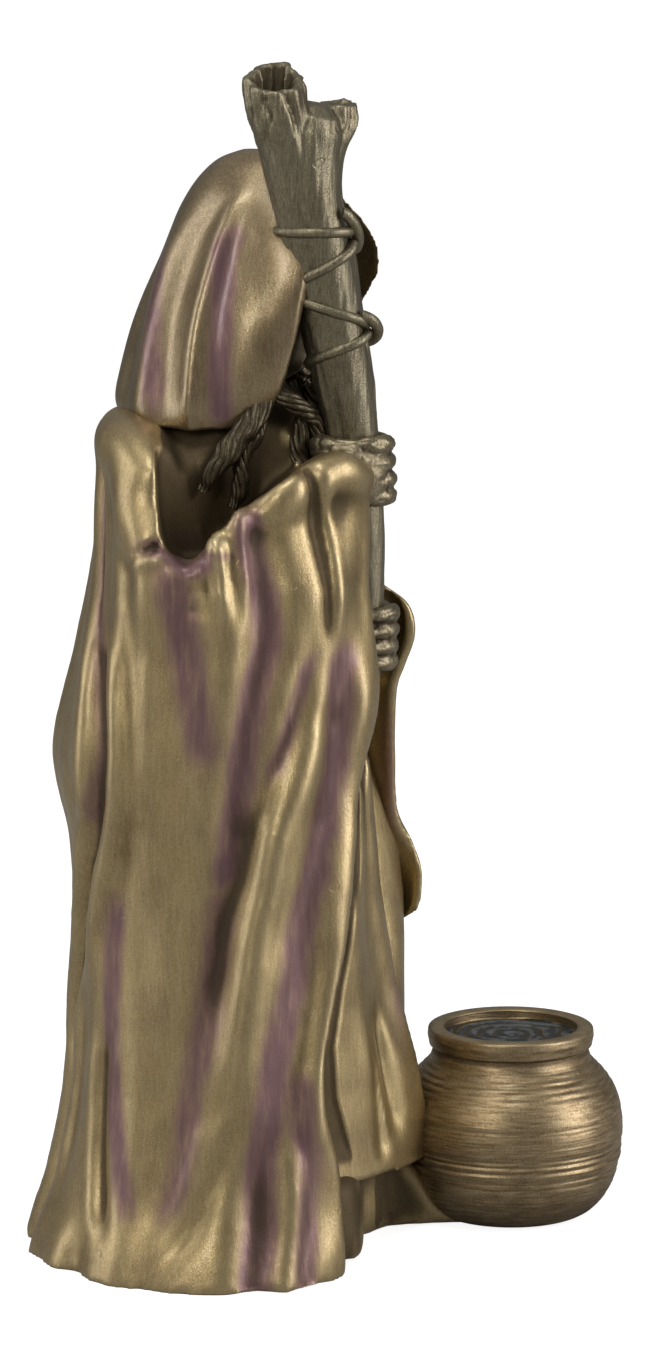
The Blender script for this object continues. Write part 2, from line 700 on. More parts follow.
robe = fuse("robe", [cloak, chest, *near_arm, base_web()], 0.96, [*sleeve_mouth, arm_pocket()])
front_panel = fuse("front_panel", [front_fall()], 0.62)
left_sleeve = fuse("left_sleeve", [far_sleeve(), far_arm], 0.62, sleeve_mouth)

# %% [markdown]
# ### Folds
#
# A fold of hanging cloth is a valley with a rounder ridge on one side or both. Each stroke below
# is a line down the cloak, given as (degrees round from the front, height) points, with the
# depth and half width of its valley and the height of the ridge before and behind it. The skin
# is pushed by all of them together, so crossing strokes melt into one another.

# %% Folds of the robe
# Line from the top down, depth, half width, ridge in front, ridge behind, length of its fading,
# and how sharp the valley is: 2 is round, 1 is a crease. A negative depth is a raised pleat.
NEAR_FOLDS = (
    (((82, 187), (81, 175), (79.5, 163), (79, 152), (82, 141), (85, 129), (88, 115), (90, 100)),
     1.5, 4.2, 0.5, 0.8, 18, 2),
    (((64.2, 195), (61, 187), (59, 179.5), (57.8, 170), (57.6, 162), (57.4, 153)),
     1.7, 1.5, 0.7, 0.2, 14, 1.3),
    (((64, 150), (67, 140), (71, 131), (77, 121), (81, 112), (84, 104), (87, 96), (91, 88), (94, 76),
      (96, 60)), 1.7, 3.4, 0.8, 0.4, 26, 1.6),
    (((53, 151), (53, 140), (54, 121), (60, 107), (64, 96), (68, 84), (70, 73), (73, 65), (77, 52),
      (79, 40), (82, 28), (82, 14), (84, 3)), 1.8, 4.8, 0.6, 0.8, 22, 1.9),
    (((70, 112), (73, 97), (76, 82), (79, 66), (83, 48)), 1.0, 2.8, 0.2, 0.9, 16, 1.5),
    (((62, 84), (64, 70), (67, 58), (70, 47), (70, 36), (68, 28), (67, 18), (70, 5)),
     1.9, 4.0, 0.4, 0.8, 18, 1.7),
    (((106, 164), (102, 150), (99, 136), (98, 120)), 0.6, 4.0, 0.2, 0.2, 16, 2),
    (((88, 40), (93, 28), (99, 17), (106, 6)), 0.9, 2.6, 0.1, 0.8, 10, 1.7),
    (((134, 56), (134, 42), (132, 27), (128, 12)), 1.7, 1.9, 0.7, 0.5, 12, 1.3),
    (((160, 196), (158, 186), (148, 158), (137, 140), (133, 122), (138, 104), (148, 88), (160, 70),
      (168, 50)), 2.0, 2.8, 1.2, 0.8, 18, 1.5),
    (((126, 178), (124, 150), (122, 120), (126, 92)), 0.7, 3.0, 0.5, 0.3, 20, 2),
    (((101, 178), (98.5, 170), (97.0, 164), (96, 158)), 0.8, 1.7, 0.2, 0.2, 8, 2),
    (((92.5, 186), (90.8, 177), (89.2, 169), (88, 158)), 0.9, 1.7, 0.2, 0.2, 12, 2),
    (((95.6, 182), (94, 174), (92.6, 166), (92, 158)), -1.1, 2.2, 0.0, 0.0, 10, 2),
    (((88.4, 189), (87.2, 180), (85.8, 172), (84.6, 160)), -1.2, 2.4, 0.0, 0.0, 14, 2),
    (((73, 194), (71.5, 182), (69, 166), (68, 148)), -1.0, 5.6, 0.0, 0.0, 30, 2),
    (((120, 100), (119, 80), (114, 50), (112, 24)), 0.6, 4.6, 0.4, 0.4, 20, 2),
    (((150, 120), (147, 100), (150, 60), (152, 20)), 0.9, 3.2, 0.6, 0.4, 18, 1.7),
)
# Plainer folds of the far side: degrees, lean, top, bottom, depth, half width and ridges
FAR_LINES = (
    (176, 8, 150, 10, 1.2, 2.4, 0.6), (205, -6, 170, 30, 1.3, 2.2, 0.7), (214, 10, 110, 4, 1.2, 2.6, 0.7),
    (236, 6, 160, 20, 1.5, 2.0, 0.8), (257, -8, 145, 6, 1.3, 2.4, 0.7), (264, 4, 120, 40, 0.9, 1.8, 0.6),
    (284, 6, 130, 2, 1.5, 2.2, 0.8), (306, 4, 120, 8, 1.4, 2.2, 0.7), (190, -8, 95, 12, 0.9, 1.8, 0.5),
    (330, 6, 100, 12, 1.0, 2.2, 0.6))
FAR_FOLDS = [(((start, top), (start + lean * 0.5, (top + bottom) / 2), (start + lean, bottom)),
              depth, half_width, ridge, ridge, 18, 1.6)
             for start, lean, top, bottom, depth, half_width, ridge in FAR_LINES]


STROKE_SCALE = 0.75


def stroke(line, degrees, height, radius, fade):
    """Signed distance from a line down the cloak, and how much of the stroke is there."""
    rows = smooth_rows([(turn * STROKE_SCALE, z, 0) for turn, z in line[::-1]], 1.5)
    levels = np.maximum.accumulate(rows[:, 1] + np.arange(len(rows)) * 1e-6)
    turned = rows[:, 0] / STROKE_SCALE
    slope = np.gradient(turned) / np.gradient(levels)
    slant = np.radians(np.interp(height, levels, slope)) * radius
    offset = np.radians(apart(degrees, np.interp(height, levels, turned))) * radius / np.sqrt(1 + slant ** 2)
    low, high = levels[0], levels[-1]
    share = 1 - ease(high - fade * 0.6, high + fade * 0.4, height)
    if low >= 6:
        share = share * ease(low - fade * 0.4, low + fade * 0.6, height)
    return offset, share


def fold_change(folds, around):
    """How far the folds push each point, all of them together."""
    change = np.zeros(len(around[0]))
    for line, depth, half_width, front_ridge, back_ridge, fade, sharpness in folds:
        offset, share = stroke(line, *around, fade)
        valley = -depth * np.exp(-(np.abs(offset) / half_width) ** sharpness)
        ridges = front_ridge * swell(offset, -2.0 * half_width, 1.2 * half_width)
        ridges = ridges + back_ridge * swell(offset, 2.0 * half_width, 1.2 * half_width)
        change += (valley + ridges) * share
    return change


def paint_strokes(strokes, around, widened, sharpness):
    """How much purple the strokes leave on each point."""
    plum = np.zeros(len(around[0]))
    for line, half_width, strength, fade in strokes:
        offset, share = stroke(line, *around, fade)
        edge = np.exp(-(np.abs(offset) / (widened * half_width)) ** sharpness)
        plum = np.maximum(plum, strength * share * edge)
    return plum


def seen_from(points, axis, turn=0.0):
    """Reach forward and to her left from an axis that is turned towards her right."""
    x, y = (points[:, :2] - axis).T
    return -sin(turn) * x - cos(turn) * y, cos(turn) * x - sin(turn) * y


def around_axis(points, axis, turn=0.0):
    """Degrees from the front, height and radius of each point about an upright axis."""
    forward, leftward = seen_from(points, axis, turn)
    return np.degrees(np.arctan2(-leftward, forward)) % 360, points[:, 2], np.hypot(forward, leftward)


def facing_out(carve, axis, radius):
    """How far the skin looks away from an axis, from -1 to 1."""
    radial = carve.points - (*axis, 0)
    radial[:, 2] = 0
    return (carve.normals() * radial).sum(axis=1) / radius.clip(1)


CLOAK_AXIS = (0.0, AXIS_Y)
HOOD_AXIS = np.array((3.0, 22.0))
HOOD_TURN = radians(20)
# Where separate forms run into one another: steps, then the soft limits along x, y and z. They
# are the sleeve at the staff hand, the nape, the back of the pocket and the sleeve's edge.
BLENDS = (
    (22, (None, (-22, -17)), (None, (10, 15)), ((174, 179), (192, 197))),
    (24, ANYWHERE, ((38.5, 42), None), ((172, 180), None)),
    (14, ((-31, -28), (-6, 0)), ((8, 12), (38, 41)), ((182, 186), None)),
    (4, (None, (-28, -22)), (None, (30, 34)), ((150, 170), None)),
)
HEM_CREASE = 2.4
HEM_ROLL = 0.35
carve = Carving(robe)
carve.relax(4)
as_melted = carve.points.copy()
for times, *limits in BLENDS:
    carve.soften(times, within(as_melted, *limits))
carve.relax(14, within(carve.points, ANYWHERE, ((38, 42), None), ((176, 186), None)))
around = degrees, height, radius = around_axis(carve.points, CLOAK_AXIS)
over_top = height - along(CLOTH_TOP, degrees)
pleated = ease(48, 56, degrees) * (1 - ease(98, 104, degrees))
on_cloth = ease(-0.05, 0.35, facing_out(carve, CLOAK_AXIS, radius)) * ease(16, 26, radius)
on_cloth = on_cloth * (1 - ease(2 + 9 * pleated, 6 + 9 * pleated, over_top))
near_side = ease(-9, -2, apart(degrees, along(NEAR_HEM, height)))
carve.push((fold_change(NEAR_FOLDS, around) * near_side + fold_change(FAR_FOLDS, around)) * on_cloth)
carve.soften(3)
under_hem = ease(-14, -9, apart(degrees, along(NEAR_HEM, height))) * (1 - near_side)
carve.soften(16, under_hem * (1 - ease(20, 26, height)))
carve.soften(12, within(carve.points, ((-7, -5), None), (None, (-14, -10)), (None, (26, 30))))
# The crease beside the near hem, which widens low down, and the roll of the hem itself
around = degrees, height, radius = around_axis(carve.points, CLOAK_AXIS)
offset, share = stroke([(turn, z) for z, turn in NEAR_HEM[::-1]], *around, 6)
crease = HEM_CREASE * np.exp(-(np.abs(offset + 1.6) / (1.5 + 1.5 * (1 - ease(30, 62, height)))) ** 2)
hem = (HEM_ROLL * swell(offset, 2.6, 2.4) - crease) * (1 - ease(176, 190, height)) * ease(20, 30, radius)
carve.push(hem * (1 - ease(2, 6, over_top)))
away = apart(degrees, along(NEAR_HEM, height))
carve.soften(8, ease(-24, -16, away) * (1 - ease(-2.5, -0.5, away)) * (1 - ease(168, 174, height)))
carve.relax(1)

# The slit above the elbow, its lip, and the dip of the sleeve's edge beside it
SLIT = ((-37.0, 43.2, 171.8), (-39.4, 40.0, 173.6), (-40.4, 36.6, 176.0), (-39.8, 34.2, 177.6))
SLIT_LIP = ((-38.0, 43.0, 169.4), (-41.0, 39.0, 171.2), (-42.0, 35.0, 172.6))
SADDLE = ((-40.5, 32.5, 171.5), (-43.0, 31.4, 166.0), (-43.6, 30.6, 160.0))
slit = near_line(carve.points, SLIT, 1.1)
lip = near_line(carve.points, SLIT_LIP, 1.8)
saddle = near_line(carve.points, SADDLE, 2.2)
carve.push(0.8 * lip - 2.4 * slit - 0.9 * saddle)
carve.shade = 1.3 * slit

# Soft unevenness of hand work
carve.push(0.16 * noise(carve.points, 9.0) + 0.05 * noise(carve.points * (1, 1, 0.5), 3.0))
carve.relax(1)

# %% Paint of the robe
# Purple strokes: line from the top down, half width, strength and length of fading
PLUM_STROKES = (
    (((109, 172), (105, 156), (101, 140), (97.5, 122)), 4.2, 0.9, 12),
    (((84, 184), (83, 174), (79, 161), (78, 152), (82, 141), (85, 129), (88, 115), (90, 103), (92, 92)),
     3.4, 1.0, 12),
    (((92, 96), (93, 91), (95, 77), (99, 56), (101, 49), (105, 25), (109, 14)), 3.6, 0.75, 14),
    (((62, 150), (66, 143), (72, 130), (79, 118)), 2.0, 0.8, 10),
    (((50, 152), (52, 140), (54, 121), (59, 107), (63, 96), (68, 84), (70, 73), (73, 65), (77, 52), (79, 40),
      (82, 28), (82, 14), (84, 3)), 3.8, 1.0, 12),
    (((70, 52), (69, 36), (67, 28), (70, 5)), 3.2, 0.85, 10),
    (((129, 92), (131, 65), (128, 42), (119, 14)), 3.0, 0.85, 12),
    (((158, 190), (150, 165), (140, 145), (134, 125), (141, 104)), 2.4, 0.7, 12),
    (((112, 176), (106, 173), (98, 171)), 4.0, 0.9, 3),
    (((24, 120), (28, 100), (30, 70), (32, 40)), 2.4, 0.3, 14),
    (((205, 160), (203, 120), (200, 60)), 3.0, 0.7, 20), (((236, 150), (240, 90), (243, 30)), 3.2, 0.8, 20),
    (((262, 130), (262, 80), (258, 20)), 3.0, 0.7, 20), (((290, 110), (292, 60), (296, 6)), 3.2, 0.7, 20),
    (((322, 120), (320, 70), (322, 20)), 2.8, 0.6, 18), (((180, 100), (183, 50), (184, 10)), 3.0, 0.6, 18),
)
SADDLE_PAINT = ((-40.0, 35.0, 171.0), (-41.5, 31.5, 169.0), (-41.5, 27.0, 170.5))
around = degrees, height, radius = around_axis(carve.points, CLOAK_AXIS)
x, y, z = carve.points.T
carve.plum = np.maximum(paint_strokes(PLUM_STROKES, around, 1.22, 2.4) * on_cloth,
                        1.2 * near_line(carve.points, SADDLE_PAINT, 3.0))
inward = x - read(SLEEVE_EDGE[::-1], y, 1, 0)[0]
away = apart(degrees, along(NEAR_HEM, height))
flap, flap_share = stroke(NEAR_FOLDS[1][0], *around, 14)
forward, leftward = seen_from(carve.points, HOOD_AXIS, HOOD_TURN)
round_neck = np.hypot(leftward / 25.5, forward / np.where(forward < 0, 25.5, 17))
# Where more dark wash is brushed on: how strongly, where, and the soft limits along x, y and z.
# They are the pocket and its back wall, the cloth under the hem and under the panel, the web,
# the shoulders, the neck under the hood, the sleeve at the staff hand and the crease of its flap.
BRUSHED_DARK = (
    (1.35, ease(2, 6, inward), (None, (-12, -3)), ((-4, 2), (37.2, 38.6)), ((164, 172), (200, 204))),
    (0.5, ease(0.35, 0.75, -carve.normals()[:, 1]) * (x < -14),
     ANYWHERE, ((24, 27), (38, 39.4)), ((170, 176), None)),
    (1.2, (away < -1.2) * ease(-4, -1.8, y - hem_place(z)) * (x < 0) * (z < 172)),
    (1.2, (z < 25) * (0.45 + 0.55 * ease(4, 17, z)) * (1 - ease(-3, -1, away)) * (degrees < 70)),
    (1.25, (y < -12) * (z < 26) * (x > -6)),
    (0.6, y > 30, ANYWHERE, ANYWHERE, ((184, 196), None)),
    (1.0, 1 - ease(1.0, 1.10, round_neck), ANYWHERE, ANYWHERE, ((182, 200), None)),
    (0.85, 1.0, (None, (-26, -12)), ((-15, -4), (2, 9)), ((140, 168), None)),
    (0.5, flap_share * np.exp(-(flap / 0.9) ** 2) * near_side),
)
for strength, where, *limits in BRUSHED_DARK:
    carve.shade = carve.shade + strength * where * within(carve.points, *limits)
carve.store()

# %% Panel and left sleeve
carve = Carving(front_panel)
carve.relax(4)
x, y, z = carve.points.T
beside = y - read(FALL_RIDGE, z, 0, 2)[0]
edge_roll = 0.7 * swell(beside, 0.6, 1.1) - 0.7 * swell(beside, 3.2, 1.8)
carve.push(edge_roll * ease(40, 60, z) * ease(0.1, 0.5, -carve.normals()[:, 0]))
groove = swell(y, -13.0 + 0.06 * (z - 40), 1.5) * ease(20, 26, z) * (1 - ease(48, 64, z))
ridge = swell(y, -9.0 + 0.10 * (z - 60), 2.2) * ease(30, 50, z) * (1 - ease(90, 120, z))
carve.push((0.5 * ridge - 1.1 * groove) * ease(0.2, 0.6, -carve.normals()[:, 0]))
carve.plum = 0.5 * swell(y, -17.5, 3.0) * (1 - ease(90, 120, z)) * ease(30, 60, z)
behind = y - hem_place(z)
carve.push(-1.0 * ease(-2.4, -0.6, behind) * ease(22, 30, z))
carve.relax(2)
carve.shade = 1.5 * ease(-2.61, -1.26, behind) * ease(20, 26, z)
carve.shade = carve.shade + 0.8 * (z < 24) * (carve.normals()[:, 2] < -0.4)
carve.push(0.12 * noise(carve.points, 8.0))
carve.relax(1)
carve.store()

carve = Carving(left_sleeve)
carve.relax(4)
x, y, z = carve.points.T
near_cloth = ease(0.2, 0.6, -carve.normals()[:, 0])
folds = 0.8 * np.sin((y + 0.22 * (z - 73)) / 2.1) * (1 - ease(90, 125, z)) * near_cloth
carve.soften(8, within(carve.points, ((12, 18), None), ANYWHERE, ((136, 142), None)))
creases = np.sin((z + 1.0 * y + 5.0 * noise(carve.points, 11.0)) / 2.6)
creased = within(carve.points, ((14, 20), None), ANYWHERE, ((140, 148), (176, 186)))
folds -= 0.45 * ease(0.5, 1.0, creases) * creased
far_cloth = ease(0.2, 0.6, carve.normals()[:, 0])
folds += 0.9 * np.sin((y + 0.12 * (z - 73)) / 3.1) * (1 - ease(110, 145, z)) * far_cloth
carve.push(folds)
near_cloth, far_cloth = (ease(0.2, 0.6, way * carve.normals()[:, 0]) for way in (-1, 1))
carve.plum = 0.6 * swell(y, 2.0, 3.0) * far_cloth
carve.plum = carve.plum + 0.55 * near_cloth * (1 - ease(120, 135, z)) * swell(y, -15, 3.5)
carve.push(0.12 * noise(carve.points, 8.0))
carve.relax(1)
carve.store()

# %% [markdown]
# ## The hood
#
# The hood is a pointed egg turned towards her right, cut off at its rim and hollowed for the
# face. Soft flutes run from its peak to its lower edge, and its rim folds back a little. The egg
# is lofted, hollowed with closed tools and melted, then its flutes are carved as strokes too.

# %% Form of the hood
# Height, half width, and reach to the back and to the front
HOOD_SECTIONS = (
    (198.5, 25.4, 25.8, 18), (203, 25.6, 27.4, 22), (210, 24.8, 26.2, 27),
    (218, 23.8, 24.2, 31), (226, 22.4, 21.6, 36), (234, 20.4, 18.6, 40), (242, 17.8, 15.4, 38),
    (249, 14.2, 12.0, 31), (255, 10, 8.2, 22), (259.5, 5.8, 3.2, 15.5), (262, 1.8, -3, 9))
# Height, and how far forward the rim lies at its near and far end
RIM_REACH = 34
HOOD_RIM = ((186, 4, 11), (197, 9.5, 17), (206, 15.5, 23.5), (216, 19, 28.5), (226, 20.5, 33.5),
            (238, 21, 37.5), (250, 19, 31), (264, 10, 16))
HOOD_HOLLOW = ((184, 11, 2, 40), (196, 13.5, 4, 40), (206, 15.5, 5, 40), (220, 16, 6, 40),
               (234, 14.5, 7, 40), (244, 11.5, 9, 40), (251, 7, 12, 40), (254, 2.5, 17, 40))


def from_hood(forward, sideways, height):
    """Places given from the hood's own axis, forward and to her left."""
    forward, sideways, height = np.broadcast_arrays(forward, sideways, height)
    return np.column_stack((HOOD_AXIS[0] - sin(HOOD_TURN) * forward + cos(HOOD_TURN) * sideways,
                            HOOD_AXIS[1] - cos(HOOD_TURN) * forward - sin(HOOD_TURN) * sideways, height))


def hood_forms():
    """The egg of the hood, and the two forms that cut its rim and its hollow."""
    turns = round_turns(120)
    egg = []
    for height, half_width, back, front in smooth_rows(HOOD_SECTIONS, 1.0):
        egg.append(from_hood((front - back) / 2 + (front + back) / 2 * np.cos(turns),
                             half_width * np.sin(turns), height))
    rim = []
    for height, near, far in smooth_rows(HOOD_RIM, 3.0):
        rim.append(from_hood(np.array((near, far, 60, 60)), np.array((-1, 1, 1, -1)) * RIM_REACH, height))
    hollow = []
    turns = turns + 0.01
    squarer = np.abs(np.cos(turns)) ** -0.3
    for height, half_width, back, front in smooth_rows(HOOD_HOLLOW, 2.0):
        hollow.append(from_hood((front + back) / 2 + (front - back) / 2 * np.cos(turns) * squarer,
                                half_width * np.sin(turns), height))
    return loft(egg), loft(rim), loft(hollow)


egg, rim_tool, hollow_tool = hood_forms()
hood = fuse("hood", [egg], 0.52, [rim_tool, hollow_tool])

# %% Flutes of the hood
# (degrees from its front towards her right, height) from the top down, then as for the robe
HOOD_FOLDS = (
    (((64, 253), (78, 242), (87, 229), (91, 216), (92, 199)), -1.3, 2.4, 0.0, 0.0, 14, 2),
    (((60, 250), (68, 242), (74, 232), (76, 222), (76, 210), (75, 199)), 1.0, 4.2, 0.3, 0.2, 14, 2),
    (((90, 252), (103, 240), (109, 226), (109, 212), (107, 199)), 0.9, 3.8, 0.2, 0.3, 14, 2),
    (((138, 242), (130, 228), (124, 214), (120, 199)), -0.7, 4.0, 0.0, 0.0, 14, 2),
    (((160, 244), (148, 228), (142, 212), (140, 199)), 0.8, 4.0, 0.2, 0.3, 14, 2),
    (((180, 240), (180, 220), (180, 200)), 0.8, 4.0, 0.3, 0.3, 12, 2),
    (((210, 244), (220, 228), (226, 212), (230, 199)), 1.0, 3.2, 0.4, 0.3, 12, 2),
    (((250, 246), (254, 230), (257, 214), (259, 199)), 1.2, 3.0, 0.4, 0.4, 12, 2),
    (((290, 246), (286, 230), (284, 214), (283, 199)), 1.1, 2.8, 0.3, 0.4, 12, 2),
)
# The dent behind the near lip: forward, to her left, height, depth, half height and half width
DENT = (13.0, -19.5, 230)
DENT_DEPTH = 1.6
DENT_RISE = 12
DENT_REACH = 6
carve = Carving(hood)
carve.relax(4)
ahead, leftward = seen_from(carve.points, HOOD_AXIS, HOOD_TURN)
near_rim, far_rim = read(HOOD_RIM, carve.points[:, 2], 0, 1, 2)
behind_rim = near_rim + (far_rim - near_rim) * (leftward + RIM_REACH) / (2 * RIM_REACH) - ahead
carve.soften(14, 1 - ease(1.5, 5, behind_rim))
around = degrees, height, radius = around_axis(carve.points, HOOD_AXIS, HOOD_TURN)
facing = facing_out(carve, HOOD_AXIS, radius)
on_cloth = ease(0.0, 0.4, facing) * ease(9, 15, radius)
from_dent = carve.points - from_hood(*DENT)[0]
dent = np.exp(-(from_dent[:, 2] / DENT_RISE) ** 2
              - (np.hypot(from_dent[:, 0], from_dent[:, 1]) / DENT_REACH) ** 2)
carve.push((fold_change(HOOD_FOLDS, around) - DENT_DEPTH * dent) * on_cloth)
carve.push(0.10 * noise(carve.points, 8.0))
carve.relax(1)

HOOD_PLUM = (
    (((66, 246), (73, 240), (75, 233), (76, 222), (76, 210), (75, 199)), 3.2, 1.0, 8),
    (((138, 240), (133, 230), (120, 216), (112, 200)), 3.4, 0.8, 12),
    (((180, 235), (180, 215), (180, 199)), 4.0, 0.6, 12),
    (((256, 240), (257, 220), (258, 200)), 3.6, 0.7, 12),
)
carve.plum = paint_strokes(HOOD_PLUM, around, 1.0, 2.6) * on_cloth
x, y, z = carve.points.T
dip = np.exp(-((y - 14.5) / 5.0) ** 2 - ((z - 220) / 12) ** 2) * (x < -8) * on_cloth
base_dark = 1 - ease(199.2, 202.5, z)
inside = (1 - ease(-0.2, 0.2, facing)) * (z > 190)
carve.shade = 0.8 * dip + 0.7 * base_dark + 0.9 * inside
carve.store()

# %% [markdown]
# ## Head
#
# The head is an egg with a calm, even face in the shade of the hood. Its features are soft bumps
# about the brow, eyes, nose, lips and chin. Each is one row of a table, so a feature can be moved
# or made flatter without touching the others.

# %% Head
# Its middle, forward of the hood's axis and above the ground, and its half sizes
HEAD_FORWARD = 9.0
HEAD_HEIGHT = 227.5
HEAD_DEPTH = 14.0
HEAD_WIDTH = 11.6
HEAD_TALLNESS = 20.5
# Features of the face: how far they stand out, where and how wide to each side, and where and
# how tall up from the middle. They are nose, bridge, nostrils, brow, eye hollow, eyelid and its
# crease, cheekbone, hollow cheek, both lips, the line between them, and chin.
FEATURES = (
    (4.6, 0, 0.15, -0.10, 0.16), (2.0, 0, 0.12, 0.12, 0.17), (0.9, 0.16, 0.08, -0.17, 0.06),
    (1.1, 0.36, 0.26, 0.33, 0.08), (-2.2, 0.38, 0.16, 0.15, 0.11), (1.3, 0.38, 0.11, 0.14, 0.07),
    (-0.5, 0.38, 0.12, 0.12, 0.018), (1.2, 0.62, 0.22, -0.12, 0.18), (-0.5, 0.42, 0.09, -0.34, 0.14),
    (1.5, 0, 0.22, -0.42, 0.055), (1.5, 0, 0.20, -0.54, 0.06), (-1.0, 0, 0.24, -0.48, 0.02),
    (1.8, 0, 0.26, -0.80, 0.14))


def head_form():
    """An egg with the features of the face."""
    rings = []
    turns = np.linspace(-pi, pi, 150, endpoint=False)
    for level in np.linspace(-pi / 2 + 0.05, pi / 2 - 0.05, 120):
        rise = sin(level)
        reach = cos(level) * (1 - 0.16 * float(ease(0, -1, rise)))
        relief = sum(stand_out * swell(np.abs(turns), side, width) * swell(rise, up, tall)
                     for stand_out, side, width, up, tall in FEATURES)
        relief = relief * ease(0, 0.3, np.cos(turns).clip(0, None))
        rings.append(from_hood(HEAD_FORWARD + (HEAD_DEPTH * reach + relief) * np.cos(turns),
                               (HEAD_WIDTH * reach + relief * 0.6) * np.sin(turns),
                               HEAD_HEIGHT + HEAD_TALLNESS * rise))
    return loft(rings)


head = fuse("head", [head_form()], 0.5)
carve = Carving(head)
carve.relax(1)
carve.store()

# %% [markdown]
# ## Materials
#
# The real casting is resin with bronze powder in its skin. Its maker brushed a dark wash into
# the hollows, painted purple into the valleys of the folds, and rubbed the crests bright. The
# same three layers are mixed here from the numbers stored on each mesh, and a fine noise gives
# the grain of the metal powder. An image could hold them, but a formula stays sharp up close.
# One small class wraps a socket so that maths reads as maths, for the finishes and for the
# Geometry Nodes trees of the hair, the cord and the pot.

# %% Node helpers
class Mix:
    """A socket of a node tree, with the operators of arithmetic."""

    def __init__(self, tree, socket):
        self.tree = tree
        self.socket = socket

    def maths(self, operation, first, second=0.0):
        """One step of arithmetic."""
        node = self.tree.nodes.new("ShaderNodeMath")
        node.operation = operation
        for socket, value in zip(node.inputs, (first, second)):
            if isinstance(value, Mix):
                self.tree.links.new(value.socket, socket)
            else:
                socket.default_value = value
        return Mix(self.tree, node.outputs[0])

    def __add__(self, other):
        return self.maths("ADD", self, other)

    __radd__ = __add__

    def __mul__(self, other):
        return self.maths("MULTIPLY", self, other)

    __rmul__ = __mul__

    def __sub__(self, other):
        return self.maths("SUBTRACT", self, other)

    def __rsub__(self, other):
        return self.maths("SUBTRACT", other, self)

    def __truediv__(self, other):
        return self.maths("DIVIDE", self, other)

    def sine(self):
        """Sine of an angle in radians."""
        return self.maths("SINE", self)

    def cosine(self):
        """Cosine of an angle in radians."""
        return self.maths("COSINE", self)

    def clamp(self):
        """The same value, kept between 0 and 1."""
        return self.maths("MINIMUM", self.maths("MAXIMUM", self, 0.0), 1.0)

    def output(self, key):
        """Another output of the same node."""
        return Mix(self.tree, self.socket.node.outputs[key])


class NodeMaker:
    """A node tree that is built node by node."""

    def __init__(self, tree):
        self.tree = tree

    def node(self, kind, settings=None, output=0, **values):
        """A node with its settings, and the values or links of its sockets, as one output."""
        made = self.tree.nodes.new(kind)
        for label, value in (settings or {}).items():
            setattr(made, label, value)
        for label, value in values.items():
            key = int(label[1:]) if label[0] == "_" else label.replace("_", " ")
            self.set(made.inputs[key], value)
        return Mix(self.tree, made.outputs[output])

    def set(self, socket, value):
        """Give a socket a value or a link."""
        if isinstance(value, Mix):
            self.tree.links.new(value.socket, socket)
        else:
            socket.default_value = value

    def vector(self, operation, **values):
        """One step of arithmetic on vectors."""
        return self.node("ShaderNodeVectorMath", {"operation": operation}, **values)

    def step(self, value, low, high):
        """0 below low, 1 above high, and soft between."""
        return self.node("ShaderNodeMapRange", {"interpolation_type": "SMOOTHSTEP"},
                         _0=value, _1=low, _2=high)


class Growth(NodeMaker):
    """A Geometry Nodes tree with named inputs, which grows a piece from a start mesh."""

    def __init__(self, name, inputs):
        super().__init__(bpy.data.node_groups.new(name, "GeometryNodeTree"))
        self.inputs = inputs
        self.new_socket("Geometry", "INPUT", "NodeSocketGeometry")
        for label, value in inputs.items():
            kind = {int: "NodeSocketInt", float: "NodeSocketFloat"}.get(type(value), "NodeSocketMaterial")
            self.new_socket(label, "INPUT", kind)
        self.new_socket("Geometry", "OUTPUT", "NodeSocketGeometry")
        self.entry = self.tree.nodes.new("NodeGroupInput")

    def new_socket(self, label, way, kind):
        """A socket on the outside of the tree."""
        self.tree.interface.new_socket(label, in_out=way, socket_type=kind)

    def given(self, label):
        """One of the tree's own inputs."""
        return Mix(self.tree, self.entry.outputs[label])

    def scaled(self, vector, share):
        """A vector times a number."""
        return self.vector("SCALE", _0=vector, Scale=share)

    def sweep(self, curve, radius, sides, lumps, reach):
        """Sweep a ring along the curves, and shift its skin unevenly."""
        sized = self.node("GeometryNodeSetCurveRadius", Curve=curve, Radius=radius)
        ring = self.node("GeometryNodeCurvePrimitiveCircle", Resolution=sides, Radius=1.0)
        skin = self.node("GeometryNodeCurveToMesh", Curve=sized, Profile_Curve=ring, Fill_Caps=True,
                         Scale=radius)
        centred = self.vector("SUBTRACT", _0=lumps, _1=(0.5, 0.5, 0.5))
        return self.node("GeometryNodeSetPosition", Geometry=skin, Offset=self.scaled(centred, reach))

    def grow(self, name, paths, result):
        """Run the tree on open paths, and keep its result as a plain mesh with its finish."""
        real = self.node("GeometryNodeRealizeInstances", Geometry=result)
        dressed = self.node("GeometryNodeSetMaterial", Geometry=real, Material=self.given("Material"))
        self.tree.links.new(dressed.socket, self.tree.nodes.new("NodeGroupOutput").inputs[0])
        start = path_mesh(name, paths)
        modifier = start.modifiers.new("Grow", "NODES")
        modifier.node_group = self.tree
        for item in self.tree.interface.items_tree:
            if item.in_out == "INPUT" and item.name in self.inputs:
                modifier[item.identifier] = self.inputs[item.name]
        apply_modifiers(start)
        start.data.shade_smooth()
        print(name, "has", triangles(start), "triangles")
        return start


def triangles(made):
    """How many triangles a piece has."""
    return sum(len(face.vertices) - 2 for face in made.data.polygons)


def path_mesh(name, paths):
    """Open lines as a mesh of edges, with the radius of each point as an attribute."""
    points = np.vstack(paths)
    starts = np.cumsum([0] + [len(path) for path in paths])
    edges = [(index, index + 1) for start, finish in zip(starts, starts[1:])
             for index in range(start, finish - 1)]
    mesh = bpy.data.meshes.new(name)
    mesh.from_pydata((points[:, :3] * MM).tolist(), edges, [])
    keep_numbers(mesh, "thickness", points[:, 3] * MM)
    return link(name, mesh)


